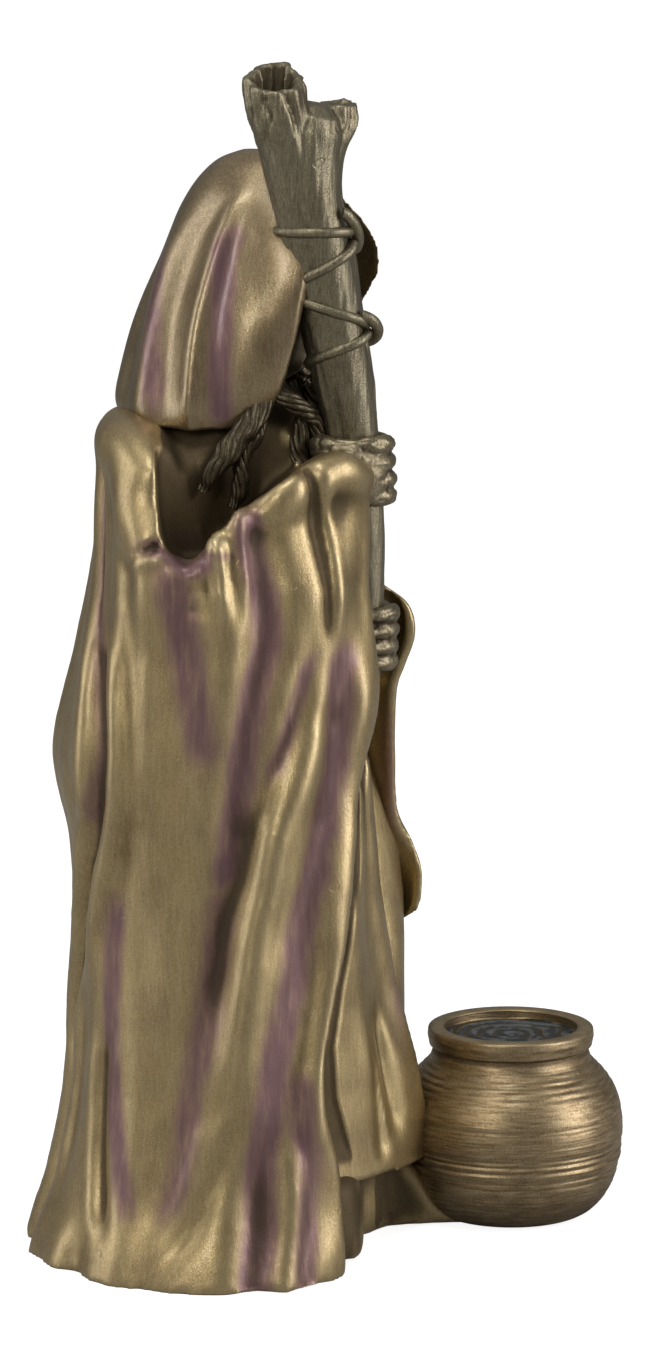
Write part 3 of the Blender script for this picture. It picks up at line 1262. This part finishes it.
class Finish(NodeMaker):
    """One material."""

    def __init__(self, name):
        self.material = bpy.data.materials.new(name)
        self.material.use_nodes = True
        super().__init__(self.material.node_tree)
        self.shader = self.tree.nodes["Principled BSDF"]
        self.place = self.node("ShaderNodeTexCoord", output="Object")

    def stored(self, name):
        """A number that is stored on the mesh."""
        return self.node("ShaderNodeAttribute", {"attribute_name": name}, output="Fac")

    def noise(self, per_mm, detail=3.0, stretch=(1, 1, 1), roughness=0.55):
        """Noise from 0 to 1 with so many lumps to the millimetre."""
        scaled = self.vector("MULTIPLY", _0=self.place, _1=[per_mm / MM * share for share in stretch])
        return self.node("ShaderNodeTexNoise", Vector=scaled, Scale=1.0, Detail=detail, Roughness=roughness)

    def blend(self, share, first, second):
        """A colour between two others."""
        made = self.tree.nodes.new("ShaderNodeMix")
        made.data_type = "RGBA"
        self.set(made.inputs[0], share)
        for socket, colour in ((made.inputs[6], first), (made.inputs[7], second)):
            self.set(socket, colour if isinstance(colour, Mix) else (*colour, 1.0))
        return Mix(self.tree, made.outputs[2])

    def feed(self, **values):
        """Give sockets of the shader their values or links."""
        for label, value in values.items():
            self.set(self.shader.inputs[label.replace("_", " ")], value)

    def surface(self, colour, roughness, metallic, height, depth, **others):
        """Feed the shader, with a bump whose depth is in millimetres."""
        bump = self.node("ShaderNodeBump", Strength=1.0, Distance=depth * MM, Height=height)
        self.feed(Base_Color=colour, Roughness=roughness, Metallic=metallic, Normal=bump, **others)
        return self.material


# %% Bronze finish
GOLD = (0.375, 0.280, 0.130)
PALE_GOLD = (0.55, 0.45, 0.26)
BROWN_GOLD = (0.235, 0.165, 0.080)
DARK_WASH = (0.058, 0.040, 0.023)
PLUM = (0.235, 0.138, 0.122)
DEEP_PLUM = (0.150, 0.076, 0.090)


def bronze(name, base, pale, brown, wash_share=1.0, brushed=(1, 1, 0.12), brushing=0.25, depth=0.10,
           rough=0.42, coat=0.0):
    """Bronze powder in resin, with dark wash in the hollows and purple where it was painted."""
    f = Finish(name)
    grain = f.noise(2.2, 2.0)
    flake = f.noise(3.4, 1.0)
    streak = f.noise(1.5, 4.0, brushed)
    cloud = f.noise(0.09, 4.0)
    colour = f.blend(f.step(cloud, 0.40, 0.75) * 0.7, base, brown)
    colour = f.blend(f.step(streak, 0.40, 0.72) * brushing, colour, pale)
    colour = f.blend((1 - f.step(streak, 0.28, 0.46)) * brushing, colour, brown)
    colour = f.blend(f.step(flake, 0.55, 0.72) * 0.6, colour, pale)
    colour = f.blend(f.step(grain, 0.52, 0.72) * 0.6, colour, brown)
    colour = f.blend((f.stored("crest") * 0.55).clamp(), colour, pale)
    brush = f.noise(0.55, 5.0, (1, 1, 0.16), 0.65)
    paint = (f.stored("plum") * (0.2 + brush * 1.5)).clamp()
    purple = f.blend(f.step(paint, 0.55, 1.0), PLUM, DEEP_PLUM)
    colour = f.blend(f.step(paint, 0.10, 0.75) * 0.90, colour, purple)
    hollow = f.stored("hollow") * wash_share + (f.noise(0.8, 4.0) - 0.5) * 0.25
    wash = f.step(hollow, 0.25, 1.35)
    colour = f.blend(wash * 0.85, colour, DARK_WASH)
    pit = f.step(f.noise(0.22, 0.0), 0.83, 0.86)
    roughness = rough + wash * 0.20 + paint * 0.08 + (grain - 0.5) * 0.25
    metallic = 0.92 - wash * 0.08 - paint * 0.25
    relief = grain * 0.35 + flake * 0.25 + streak * 0.35 - pit * 0.6
    if coat:
        f.feed(Coat_Weight=coat * (1 - f.step(hollow, 0.2, 0.8)))
    return f.surface(colour, roughness, metallic, relief, depth, Specular_IOR_Level=0.4, Coat_Roughness=0.2)


cloth_finish = bronze("bronze_cloth", GOLD, PALE_GOLD, BROWN_GOLD, coat=0.25)
hood_finish = bronze("bronze_hood", (0.275, 0.205, 0.108), (0.48, 0.40, 0.25), (0.175, 0.120, 0.062),
                     rough=0.38, coat=0.45)
wood_finish = bronze("bronze_wood", (0.20, 0.175, 0.115), (0.36, 0.315, 0.21), (0.115, 0.09, 0.055),
                     1.1, (1.6, 1.6, 0.1), 0.5, 0.2)
skin_finish = bronze("bronze_skin", (0.22, 0.185, 0.115), (0.42, 0.36, 0.24), (0.105, 0.08, 0.05),
                     2.2, (1, 1, 1))
hair_finish = bronze("bronze_hair", (0.068, 0.055, 0.034), (0.20, 0.165, 0.105), (0.036, 0.028, 0.018),
                     2.2, (1, 1, 1))
pot_finish = bronze("bronze_pot", (0.285, 0.207, 0.110), (0.51, 0.41, 0.25), (0.135, 0.09, 0.05),
                    1.1, (0.11, 0.11, 1.1), 0.6)
print("finishes", [material.name for material in bpy.data.materials])

# %% [markdown]
# ## Hair
#
# The hair falls in wavy locks. A lock is a bundle of strands along one path, so Geometry Nodes
# make it: the path is copied for each strand, and the copies wind round it. Locks modelled by
# hand could look looser, but the nodes keep every strand of a bundle in step with its path.

# %% Hair
# Locks: (x, y, height, radius)
LOCKS = (
    ((-12, 12, 211, 2.0), (-16.5, 14, 206, 2.5), (-20.5, 17, 200.5, 2.8), (-21.8, 20, 197, 2.6),
     (-23.2, 23.5, 192.5, 2.6), (-23.6, 26.5, 189, 2.0), (-23.4, 28.5, 184.5, 1.2)),
    ((-14, 12, 209, 1.8), (-17, 9.6, 205.4, 2.2), (-16, 5.6, 203, 2.3), (-13.4, 2.4, 199.6, 2.2),
     (-11.8, 1.6, 194, 2.0), (-12, 2.2, 187, 1.6)),
    ((-10, 9, 208, 2.0), (-12, 5.4, 200, 2.2), (-12.6, 6.6, 193, 2.2), (-14, 4.6, 186, 1.8),
     (-14, 5, 180, 1.2)),
    ((-14, 15, 205, 2.0), (-18, 16.6, 198, 2.4), (-20, 19.6, 192, 2.2), (-20.4, 19.4, 186, 2.0),
     (-21, 22, 180, 1.2)),
    ((-4, 4, 207, 2.2), (-3, 1, 199, 3.0), (-3, -1, 189, 3.0), (-2, -1, 178, 1.8)),
    ((3, 4, 208, 2.2), (5, 0.5, 200, 3.0), (6, -1.5, 190, 3.0), (5, -1.5, 179, 2.4), (7, -1, 170, 1.4)),
    ((9, 6, 210, 2.2), (13, 3, 202, 3.0), (14, 0, 192, 3.0), (13, 0, 182, 2.6), (15, 0.5, 174, 1.4)),
    ((12, 8, 208, 2.2), (18, 8, 200, 3.0), (20, 8, 190, 2.8), (19, 9, 181, 1.6)),
)


def hair_growth():
    """Copy each path for its strands, wind them round it, and give them thickness."""
    g = Growth("wind_strands", {"Strands": 7, "Strand Share": 0.42, "Turns": 1.2, "Wave": 2.4 * MM,
                                "Material": hair_finish})
    curve = g.node("GeometryNodeMeshToCurve", Mesh=g.given("Geometry"))
    curve = g.node("GeometryNodeSetCurveNormal", {"mode": "MINIMUM_TWIST"}, Curve=curve)
    copies = g.node("GeometryNodeDuplicateElements", {"domain": "SPLINE"}, Geometry=curve,
                    Amount=g.given("Strands"))
    place = g.node("GeometryNodeSplineParameter", output="Factor")
    thickness = g.node("GeometryNodeInputNamedAttribute", {"data_type": "FLOAT"}, Name="thickness")
    angle = (place * g.given("Turns") + copies.output(1) / g.given("Strands")) * (2 * pi)
    normal = g.node("GeometryNodeInputNormal")
    side = g.vector("CROSS_PRODUCT", _0=normal, _1=g.node("GeometryNodeInputTangent"))
    offset = g.vector("ADD", _0=g.scaled(normal, angle.cosine()), _1=g.scaled(side, angle.sine()))
    moved = g.node("GeometryNodeSetPosition", Geometry=copies, Offset=g.scaled(offset, thickness * 0.62))
    lumps = g.node("ShaderNodeTexNoise", output="Color", Scale=0.22 / MM, Detail=1.0)
    return g, g.sweep(moved, thickness * g.given("Strand Share"), 8, lumps, g.given("Wave"))


growth, result = hair_growth()
hair = growth.grow("hair", [smooth_rows(lock, 0.9) for lock in LOCKS], result)

# %% [markdown]
# ## The staff
#
# Two stems of a gnarled branch grow together and are bound with cord. Each stem is a loft along
# its own line with ridges of bark round it. The top of the main stem is broken: it ends in a
# ragged rim round a dark hollow. The bark follows noise that is stretched along the stem.

# %% Stems
STAFF_RADIUS = 6.2
FORK_RADIUS = 4.6
# Lines of both stems: (x, y, height, share of the full radius)
STAFF_LINE = ((-4.5, -5, 116, 0.68), (-5, -6.3, 134, 0.74), (-6.6, -7.2, 155, 0.78), (-8.2, -7.4, 175, 0.81),
              (-9.6, -5.7, 190, 0.84), (-11, -3.3, 204, 0.84), (-13, -0.9, 216, 0.88), (-15, 1.5, 228, 0.93),
              (-16.4, 3.9, 240, 0.97), (-18, 6.4, 251, 1.0), (-19, 8.4, 262, 1.10), (-20, 10.2, 270, 1.18),
              (-20.6, 11.4, 277, 1.18), (-21, 11.8, 282.5, 1.14))
FORK_LINE = ((-6, -10.4, 140, 0.5), (-7, -11.2, 156, 0.5), (-8, -10.8, 172, 0.58), (-8.8, -10.4, 186, 0.56),
             (-9.6, -9.4, 200, 0.58), (-10.6, -8.0, 212, 0.68), (-12.2, -5.4, 226, 0.76),
             (-13.4, -2.9, 240, 0.84), (-14.4, 0.2, 252, 0.90), (-14, -0.2, 262, 0.94),
             (-12.2, -2.9, 269, 1.02), (-11.4, -2.8, 274, 0.98))


def stem_at(line, height):
    """Middle and radius share of a stem at a height."""
    return read(line, height, 2, 0, 1, 3)


BARK = 0.06
BARK_FINE = 0.035
TORN_BARK = 0.05
SPLIT_DEPTH = 0.20
# The hollow at a broken top: how far each ring draws in, and how far it drops
HOLLOW_RINGS = ((0.95, -0.06), (0.82, -0.10), (0.70, -0.02), (0.62, 0.3), (0.54, 0.9), (0.2, 1.0))


def ring_noise(circle, level, size):
    """Noise round a ring, at a level along the stem."""
    return noise(np.column_stack((circle, np.full(len(circle), level))), size)


def stem(line, full_radius, hollow_depth, lean, tear):
    """A stem with bark, whose broken top leans towards her right and is hollowed."""
    turns = round_turns(72)
    circle = np.column_stack((np.cos(turns), np.sin(turns)))
    ragged = tear * ring_noise(circle * 2.0, 0.0, 0.9)
    peak = line[-1][2]
    rings = []
    for x, y, z, share in smooth_rows(line, 0.8):
        near_top = float(ease(peak - 22, peak - 4, z))
        bark = BARK * ring_noise(circle * 2.4, z / 16, 0.8)
        bark = bark + (BARK_FINE + TORN_BARK * near_top) * ring_noise(circle * 4.5, z / 9, 0.8)
        lobes = np.abs(np.sin(3.5 * turns + 0.9 * sin(z / 5) + 1.2 * ring_noise(circle, z / 20, 1)))
        bark = bark - SPLIT_DEPTH * near_top * np.exp(-(lobes / 0.30) ** 2)
        radius = full_radius * share * (1 + bark)
        ring = level_ring(x + radius * circle[:, 0], y + radius * circle[:, 1], z)
        ring[:, 2] += ragged * float(ease(peak - 6, peak, z))
        ring[:, 2] -= lean * float(ease(peak - 18, peak, z)) * (0.5 - 0.5 * circle[:, 0])
        rings.append(ring)
    top = rings[-1].copy()
    centre = top.mean(axis=0)
    for inward, down in HOLLOW_RINGS:
        ring = centre + (top - centre) * inward
        ring[:, 2] = top[:, 2] * (1 - down) + (centre[2] - hollow_depth) * down
        rings.append(ring)
    for ring in rings:
        ring[:, 2] = ring[:, 2].clip(None, CASTING_HEIGHT)
    return loft(rings)


between = []
for height in (136, 156, 176, 196, 216, 236, 252, 262, 267):
    main, fork = stem_at(STAFF_LINE, height), stem_at(FORK_LINE, height)
    between.append(((main[0] + fork[0]) / 2 - 1.5, (main[1] + fork[1]) / 2, height,
                    6.3 * (main[2] + fork[2]) / 1.8))
stems = [stem(STAFF_LINE, STAFF_RADIUS, 5.0, 5.5, 0.7), stem(FORK_LINE, FORK_RADIUS, 0.6, 0.8, 0.5)]
staff = fuse("staff", [*stems, tube(between, 1.0, 30)], 0.5)
carve = Carving(staff)
carve.relax(1)
grain_place = carve.points * (1, 1, 0.14)
carve.push(0.15 * noise(grain_place, 1.4) + 0.10 * noise(grain_place + 40, 0.8))
carve.relax(1)
x, y, z = carve.points.T
from_core = np.hypot(x + 21, y - 11.8)
carve.shade = 1.2 * (1 - ease(4.2, 6.4, from_core)) * ease(270, 274, z)
carve.store()

# %% [markdown]
# ### The cord round the staff
#
# A thong is wound round both stems, crosses itself and ends in a loop at the front. It is carved
# on the casting, so it isn't a real cord. Its paths follow the outline of the two stems, and
# Geometry Nodes sweep a ring along them.

# %% Lashing
CORD_RADIUS = 1.25


def round_staff(degrees, height, clearance):
    """A place on the outline of the bound stems: 0 degrees is in front, 90 her right."""
    main_x, main_y, main_share = stem_at(STAFF_LINE, height)
    _, fork_y, fork_share = stem_at(FORK_LINE, height)
    back = main_y + main_share * STAFF_RADIUS
    front = min(main_y - main_share * STAFF_RADIUS, fork_y - fork_share * FORK_RADIUS)
    turn = radians(degrees)
    return np.array((main_x - (main_share * STAFF_RADIUS + clearance) * sin(turn),
                     (back + front) / 2 - ((back - front) / 2 + clearance) * cos(turn), height))


# Turns of the cord, from (degrees, height) to (degrees, height), and its loops at the front:
# height, half height and how far they hang out
CORD_TURNS = (((10, 244.5), (370, 244.5)), ((8, 241.5), (175, 230)), ((352, 241.5), (185, 230)),
              ((175, 230), (8, 222.5)), ((185, 230), (352, 222.5)), ((8, 220.5), (172, 213)),
              ((352, 220.5), (188, 213)), ((172, 213), (188, 213)), ((175, 230), (185, 230)))
CORD_LOOPS = ((244.5, 4.4, 1.3), (221.5, 3.2, 2.2))


def cord_paths():
    """All the turns of the cord, with the radius of each point."""
    paths = []
    for (first, high), (last, low) in CORD_TURNS:
        turn = [(*round_staff(first + (last - first) * share, high + (low - high) * share, 0.1), CORD_RADIUS)
                for share in np.linspace(0, 1, 40)]
        paths.append(np.array(turn))
    for centre, reach, bulge in CORD_LOOPS:
        loop = []
        for turn in np.linspace(0, pi, 24):
            x, y, z = round_staff(24 * cos(turn) + 4, centre + reach * cos(turn), 0.3)
            loop.append((x, y - bulge * sin(turn), z, CORD_RADIUS * 1.1))
        paths.append(np.array(loop))
    return paths


def cord_growth():
    """Sweep a ring along each path, with a little unevenness."""
    g = Growth("sweep_cord", {"Sides": 14, "Unevenness": 0.25 * MM, "Seed": 3.0, "Material": wood_finish})
    curve = g.node("GeometryNodeMeshToCurve", Mesh=g.given("Geometry"))
    thickness = g.node("GeometryNodeInputNamedAttribute", {"data_type": "FLOAT"}, Name="thickness")
    lumps = g.node("ShaderNodeTexNoise", {"noise_dimensions": "4D"}, "Color", W=g.given("Seed"),
                   Scale=0.35 / MM)
    return g, g.sweep(curve, thickness, g.given("Sides"), lumps, g.given("Unevenness"))


growth, result = cord_growth()
lashing = growth.grow("lashing", cord_paths(), result)

# %% [markdown]
# ## Hands
#
# Both hands close round the staff, the right one high and the left one inside its sleeve. Four
# fingers, a thumb and the back of the hand are melted together, then knuckles, tendons and the
# wrinkles of old skin are carved across them.

# %% Hands
FINGER_RADIUS = 2.3


def finger(start, finish, height):
    """A finger laid round the staff, thicker at its knuckles."""
    rows = []
    for share in np.linspace(0, 1, 26):
        place = round_staff(start + (finish - start) * share, height, FINGER_RADIUS * 0.95)
        knuckle = 1 + 0.17 * cos(share * 4 * pi)
        rows.append((*place, FINGER_RADIUS * knuckle * (1 - 0.2 * share)))
    return tube(rows, smooth=False, sides=20)


def hand_back(sections):
    """The back of a hand through (x, y, height, half thickness, half height) sections."""
    rows = smooth_rows(sections, 0.8)
    ways = np.gradient(rows[:, :2], axis=0)
    ways /= np.linalg.norm(ways, axis=1)[:, None]
    turns = round_turns(40)
    rings = []
    for (x, y, height, half_thickness, half_height), (way_x, way_y) in zip(rows, ways):
        rings.append(np.column_stack((x + way_y * half_thickness * np.cos(turns),
                                      y - way_x * half_thickness * np.cos(turns),
                                      height + half_height * np.sin(turns))))
    return loft(rings)


# Name, heights of the fingers, degrees round the staff where they start and end, back and thumb
HANDS = (
    ("right_hand", (194.2, 190.0, 185.8, 181.9), 150, -70,
     ((-20, -1, 187.5, 4.4, 4.8), (-17.8, -6.5, 188, 3.6, 6.8), (-15.4, -11.6, 188, 2.5, 7.6),
      (-12.8, -14.6, 188, 1.2, 6.6)),
     ((-18, -3, 191, 2.6), (-13.5, 1.5, 193, 2.4), (-8, 1.2, 194.5, 1.9))),
    ("left_hand", (153.4, 149.4, 145.5, 141.8), -80, 112,
     ((11, -8.5, 149.5, 4.4, 4.8), (5.6, -11.6, 148.6, 3.6, 6.6), (1.4, -13.8, 147.8, 2.2, 7.2),
      (-2.0, -14.6, 147.6, 1.0, 6.2)),
     ((6, -5, 152, 2.6), (1, -1.4, 154, 2.3), (-5, -0.4, 155, 1.9))),
)
hands = []
for name, heights, start, finish, back, thumb in HANDS:
    forms = [finger(start, finish, height) for height in heights] + [hand_back(back), tube(thumb, 0.8)]
    hand = fuse(name, forms, 0.42)
    carve = Carving(hand)
    carve.relax(1)
    wrinkle = noise(carve.points * (0.6, 0.6, 1.6), 2.0)
    carve.push(0.16 * noise(carve.points, 2.6) - 0.26 * np.exp(-(wrinkle / 0.22) ** 2))
    carve.relax(1)
    carve.store()
    hands.append(hand)

# %% [markdown]
# ## The pot
#
# The pot looks turned, so its whole shape follows one rule: a half section that goes round an
# axis. Geometry Nodes make it from a grid. Each point of the grid takes its radius and height
# from the half section and its angle from its column. Tool marks are rings that rise and fall
# with height.

# %% Half section of the pot
POT_HEIGHT = 46.8
POT_RADIUS = 27.6
POT_RIM_RADIUS = 20.2
POT_RIM_WALL = 4.0
POT_RIM_HEIGHT = 4.6
POT_FOOT_RADIUS = 15.5
BREW_DEPTH = 2.6
POT_ROUNDING = 0.7
NECK_STEP = 1.2
BELLY_SHARE = 0.51
# Height and depth of each groove
TOOL_GROOVES = ((37.4, 0.30), (36.2, 0.42), (34.8, 0.30), (33.2, 0.22), (26.0, 0.12), (19.0, 0.30),
                (17.6, 0.42), (16.0, 0.22), (13.2, 0.34), (11.8, 0.22))


def pot_section():
    """(radius, height) points from the middle of the brew to the middle of the foot."""
    brew = POT_HEIGHT - BREW_DEPTH
    mouth = POT_RIM_RADIUS - POT_RIM_WALL
    rim_foot = POT_HEIGHT - POT_RIM_HEIGHT
    body_top = rim_foot - NECK_STEP
    belly = BELLY_SHARE * body_top
    points = [(r, brew) for r in np.linspace(0, mouth - 0.3, 50)]
    points += [(mouth, brew + 0.3), (mouth + 0.1, POT_HEIGHT - POT_ROUNDING)]
    turns = np.linspace(pi, 0, 7)
    lip_middle = (mouth + POT_RIM_RADIUS) / 2
    points += [(lip_middle + (POT_RIM_WALL / 2) * cos(turn), POT_HEIGHT - POT_ROUNDING * (1 - sin(turn)))
               for turn in turns]
    points += [(POT_RIM_RADIUS + 0.15, POT_HEIGHT - POT_RIM_HEIGHT / 2), (POT_RIM_RADIUS - 0.3, rim_foot),
               (POT_RIM_RADIUS - 1.4, rim_foot - 0.6)]
    for turn in np.linspace(0.88, -1.0, 220):
        if turn > 0:
            reach = POT_RADIUS * sqrt(1 - (turn * 0.84) ** 2.4)
            points.append((reach, belly + (body_top - belly) * turn))
        else:
            reach = POT_FOOT_RADIUS + (POT_RADIUS - POT_FOOT_RADIUS) * sqrt(max(1 - (-turn) ** 2.1, 0.0))
            points.append((reach, belly * (1 + turn)))
    points += [(r, 0) for r in np.linspace(POT_FOOT_RADIUS - 0.8, 0, 6)]
    section = np.array(points)
    outside = (section[:, 0] > POT_FOOT_RADIUS) & (section[:, 1] < rim_foot - 1)
    for height, depth in TOOL_GROOVES:
        section[:, 0] -= outside * depth * swell(section[:, 1], height, 0.5)
    return section


def pot_growth():
    """Turn the half section on the pot's axis, with tool marks."""
    axis_x, axis_y = (float(value * MM) for value in POT_AXIS[:2])
    g = Growth("turn_pot", {"Sides": 190, "Rows": 440, "Mark Depth": 0.34 * MM, "Axis X": axis_x,
                            "Axis Y": axis_y, "Material": pot_finish})
    section = g.node("GeometryNodeMeshToCurve", Mesh=g.given("Geometry"))
    grid = g.node("GeometryNodeMeshGrid", Size_X=1.0, Size_Y=1.0, Vertices_X=g.given("Sides"),
                  Vertices_Y=g.given("Rows"))
    place = g.node("ShaderNodeSeparateXYZ", _0=g.node("GeometryNodeInputPosition"))
    climb = place.output("Y") + 0.5
    angle = place.output("X") * (2 * pi)
    on_section = g.node("GeometryNodeSampleCurve", {"mode": "FACTOR", "use_all_curves": True}, "Position",
                        Curves=section, Factor=climb)
    radius = g.node("ShaderNodeSeparateXYZ", _0=on_section)
    height = radius.output("Z")
    marks = g.node("ShaderNodeTexNoise", {"noise_dimensions": "1D"}, W=height, Scale=0.9 / MM, Detail=2.0)
    outer = g.step(climb, 0.46, 0.5)
    cut = radius + (marks - 0.5) * g.given("Mark Depth") * outer
    x = cut * angle.cosine() + g.given("Axis X")
    y = cut * angle.sine() + g.given("Axis Y")
    turned = g.node("ShaderNodeCombineXYZ", X=x, Y=y, Z=height)
    moved = g.node("GeometryNodeSetPosition", Geometry=grid, Position=turned)
    return g, g.node("GeometryNodeMergeByDistance", Geometry=moved, Distance=0.01 * MM)


section = pot_section()
rows = np.column_stack((section[:, 0], np.zeros(len(section)), section[:, 1], np.ones(len(section))))
growth, result = pot_growth()
pot = growth.grow("pot", [rows], result)

# %% Brew
BREW_RADIUS = POT_RIM_RADIUS - POT_RIM_WALL + 0.2
turns = round_turns(180)
rings = []
for radius_share, drop in [(1.0, 1.6)] + [(share, 0.0) for share in np.linspace(1, 0.01, 110)]:
    reach = BREW_RADIUS * radius_share
    circle = np.column_stack((reach * np.cos(turns), reach * np.sin(turns)))
    swirl = 0.22 * np.sin(reach * 1.5 + turns + 3.4 * ring_noise(circle, 0.0, 7.0))
    level = POT_HEIGHT - BREW_DEPTH - drop + 0.15 + swirl * (drop == 0)
    rings.append(np.column_stack((circle + POT_AXIS, level)))
brew = mesh_of("brew", [loft(rings)])
brew.data.shade_smooth()
f = Finish("painted_brew")
from_middle = f.vector("DISTANCE", output="Value", _0=f.place,
                       _1=(POT_AXIS[0] * MM, POT_AXIS[1] * MM, (POT_HEIGHT - BREW_DEPTH) * MM))
rings_seen = (from_middle * (1.5 / MM) + f.noise(0.12, 3.0) * 14.0).sine()
flow = f.noise(0.5, 4.0)
colour = f.blend(f.step(rings_seen * 0.25 + flow, 0.35, 0.85), (0.022, 0.026, 0.030), (0.115, 0.125, 0.125))
colour = f.blend(f.step(f.noise(1.6, 3.0), 0.58, 0.75) * 0.35, colour, (0.16, 0.13, 0.08))
brew_finish = f.surface(colour, 0.30 + flow * 0.2, 0.35, rings_seen * 0.3 + flow, 0.18)
print("brew has", len(brew.data.polygons), "faces")

# %% Paint of the pot, hair and lashing
def paint_plain(made, crests, hollows):
    """Store the paint layers of a mesh that wasn't carved."""
    for name, values in (("plum", 0 * crests), ("hollow", hollows), ("crest", crests)):
        keep_numbers(made.data, name, values)


points = points_of(pot)
from_axis = np.hypot(points[:, 0] - POT_AXIS[0], points[:, 1] - POT_AXIS[1])
low_dark = 0.85 * (1 - ease(1, 20, points[:, 2]))
neck_dark = 0.9 * swell(points[:, 2], POT_HEIGHT - POT_RIM_HEIGHT - 1.0, 1.1) * ease(17, 18.5, from_axis)
mouth_dark = 1.2 * (1 - ease(15.6, 16.3, from_axis)) * (points[:, 2] > 20)
paint_plain(pot, 0.5 * swell(points[:, 2], POT_HEIGHT, 0.8), low_dark + neck_dark + mouth_dark)
for made in (hair, lashing):
    points = points_of(made)
    lumps = noise(points, 1.4)
    paint_plain(made, (lumps - 0.2).clip(0, 1) * 0.6, (-lumps).clip(0, 1) * 0.8)

# %% [markdown]
# ## Dress the casting
#
# The casting is one solid, so every piece rides on its one body and takes the place of the same
# node. Each piece says which material slot of the record it finishes.

# %% Dress the casting
pieces = {robe: cloth_finish, front_panel: cloth_finish, left_sleeve: cloth_finish, hood: hood_finish,
          head: skin_finish, hair: hair_finish, staff: wood_finish, lashing: wood_finish,
          hands[0]: skin_finish, hands[1]: skin_finish, pot: pot_finish, brew: brew_finish}
for piece, finish in pieces.items():
    piece.data.materials.clear()
    piece.data.materials.append(finish)
    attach(piece, "root")
    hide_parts(CASTING)
print(len(pieces), "pieces with", sum(triangles(piece) for piece in pieces), "triangles in all")

# %% [markdown]
# ## Floor and light
#
# A pale floor runs back into a pale surround, and four soft panels light the figure: one on the
# camera's left, one on its right, one overhead and a small warm one from the camera's side. A
# satin metal shows its light more than its own colour, so the panels are placed for the
# highlights on the hood and the folds.

# %% Floor and light
FLOOR_REACH = 4.0
floor_mesh = bpy.data.meshes.new("floor")
floor_mesh.from_pydata([(-FLOOR_REACH, -FLOOR_REACH, 0), (FLOOR_REACH, -FLOOR_REACH, 0),
                        (FLOOR_REACH, FLOOR_REACH, 0), (-FLOOR_REACH, FLOOR_REACH, 0)], [], [(0, 1, 2, 3)])
floor = link("floor", floor_mesh)
f = Finish("floor_white")
seen = f.node("ShaderNodeLightPath", output="Is Camera Ray")
f.feed(Base_Color=(0.4, 0.4, 0.4, 1), Roughness=0.6, Emission_Color=(1, 1, 1, 1),
       Emission_Strength=seen * 0.88)
floor_mesh.materials.append(f.material)

world = bpy.data.worlds.new("studio")
world.use_nodes = True
f = NodeMaker(world.node_tree)
height_seen = f.node("ShaderNodeSeparateXYZ", _0=f.node("ShaderNodeTexCoord", output="Generated"),
                     output="Z")
seen = f.node("ShaderNodeLightPath", output="Is Camera Ray")
studio = 0.13 + 0.3 * f.step(height_seen, 0.15, 0.9)
background = world.node_tree.nodes["Background"]
background.inputs["Color"].default_value = (1, 1, 1, 1)
f.set(background.inputs["Strength"], seen * 1.05 + (1 - seen) * studio)
bpy.context.scene.world = world
bpy.context.scene.view_settings.view_transform = "Standard"
LIGHT_AIM = Vector((0, 0, 0.15))


def panel(name, place, size, power, colour=(1, 1, 1)):
    """A soft square panel of light that looks at the figure."""
    light = bpy.data.lights.new(name, "AREA")
    light.shape = "RECTANGLE"
    light.size, light.size_y = size
    light.energy = power
    light.color = colour
    lamp = link(name, light)
    lamp.location = place
    lamp.rotation_euler = (LIGHT_AIM - lamp.location).to_track_quat("-Z", "Y").to_euler()


COOL = (0.98, 0.97, 1.0)
WARM = (1.0, 0.97, 0.92)
panel("left", (-0.15, 1.25, 0.55), (0.6, 1.1), 5.4, COOL)
panel("right", (-0.4, -1.25, 0.5), (0.6, 1.1), 11.5, COOL)
panel("top", (-0.46, 0.16, 1.35), (0.42, 0.42), 4.4)
panel("front", (-1.3, 0.6, 0.75), (0.3, 0.5), 5.0, WARM)
print("lights", [light.name for light in bpy.data.lights])
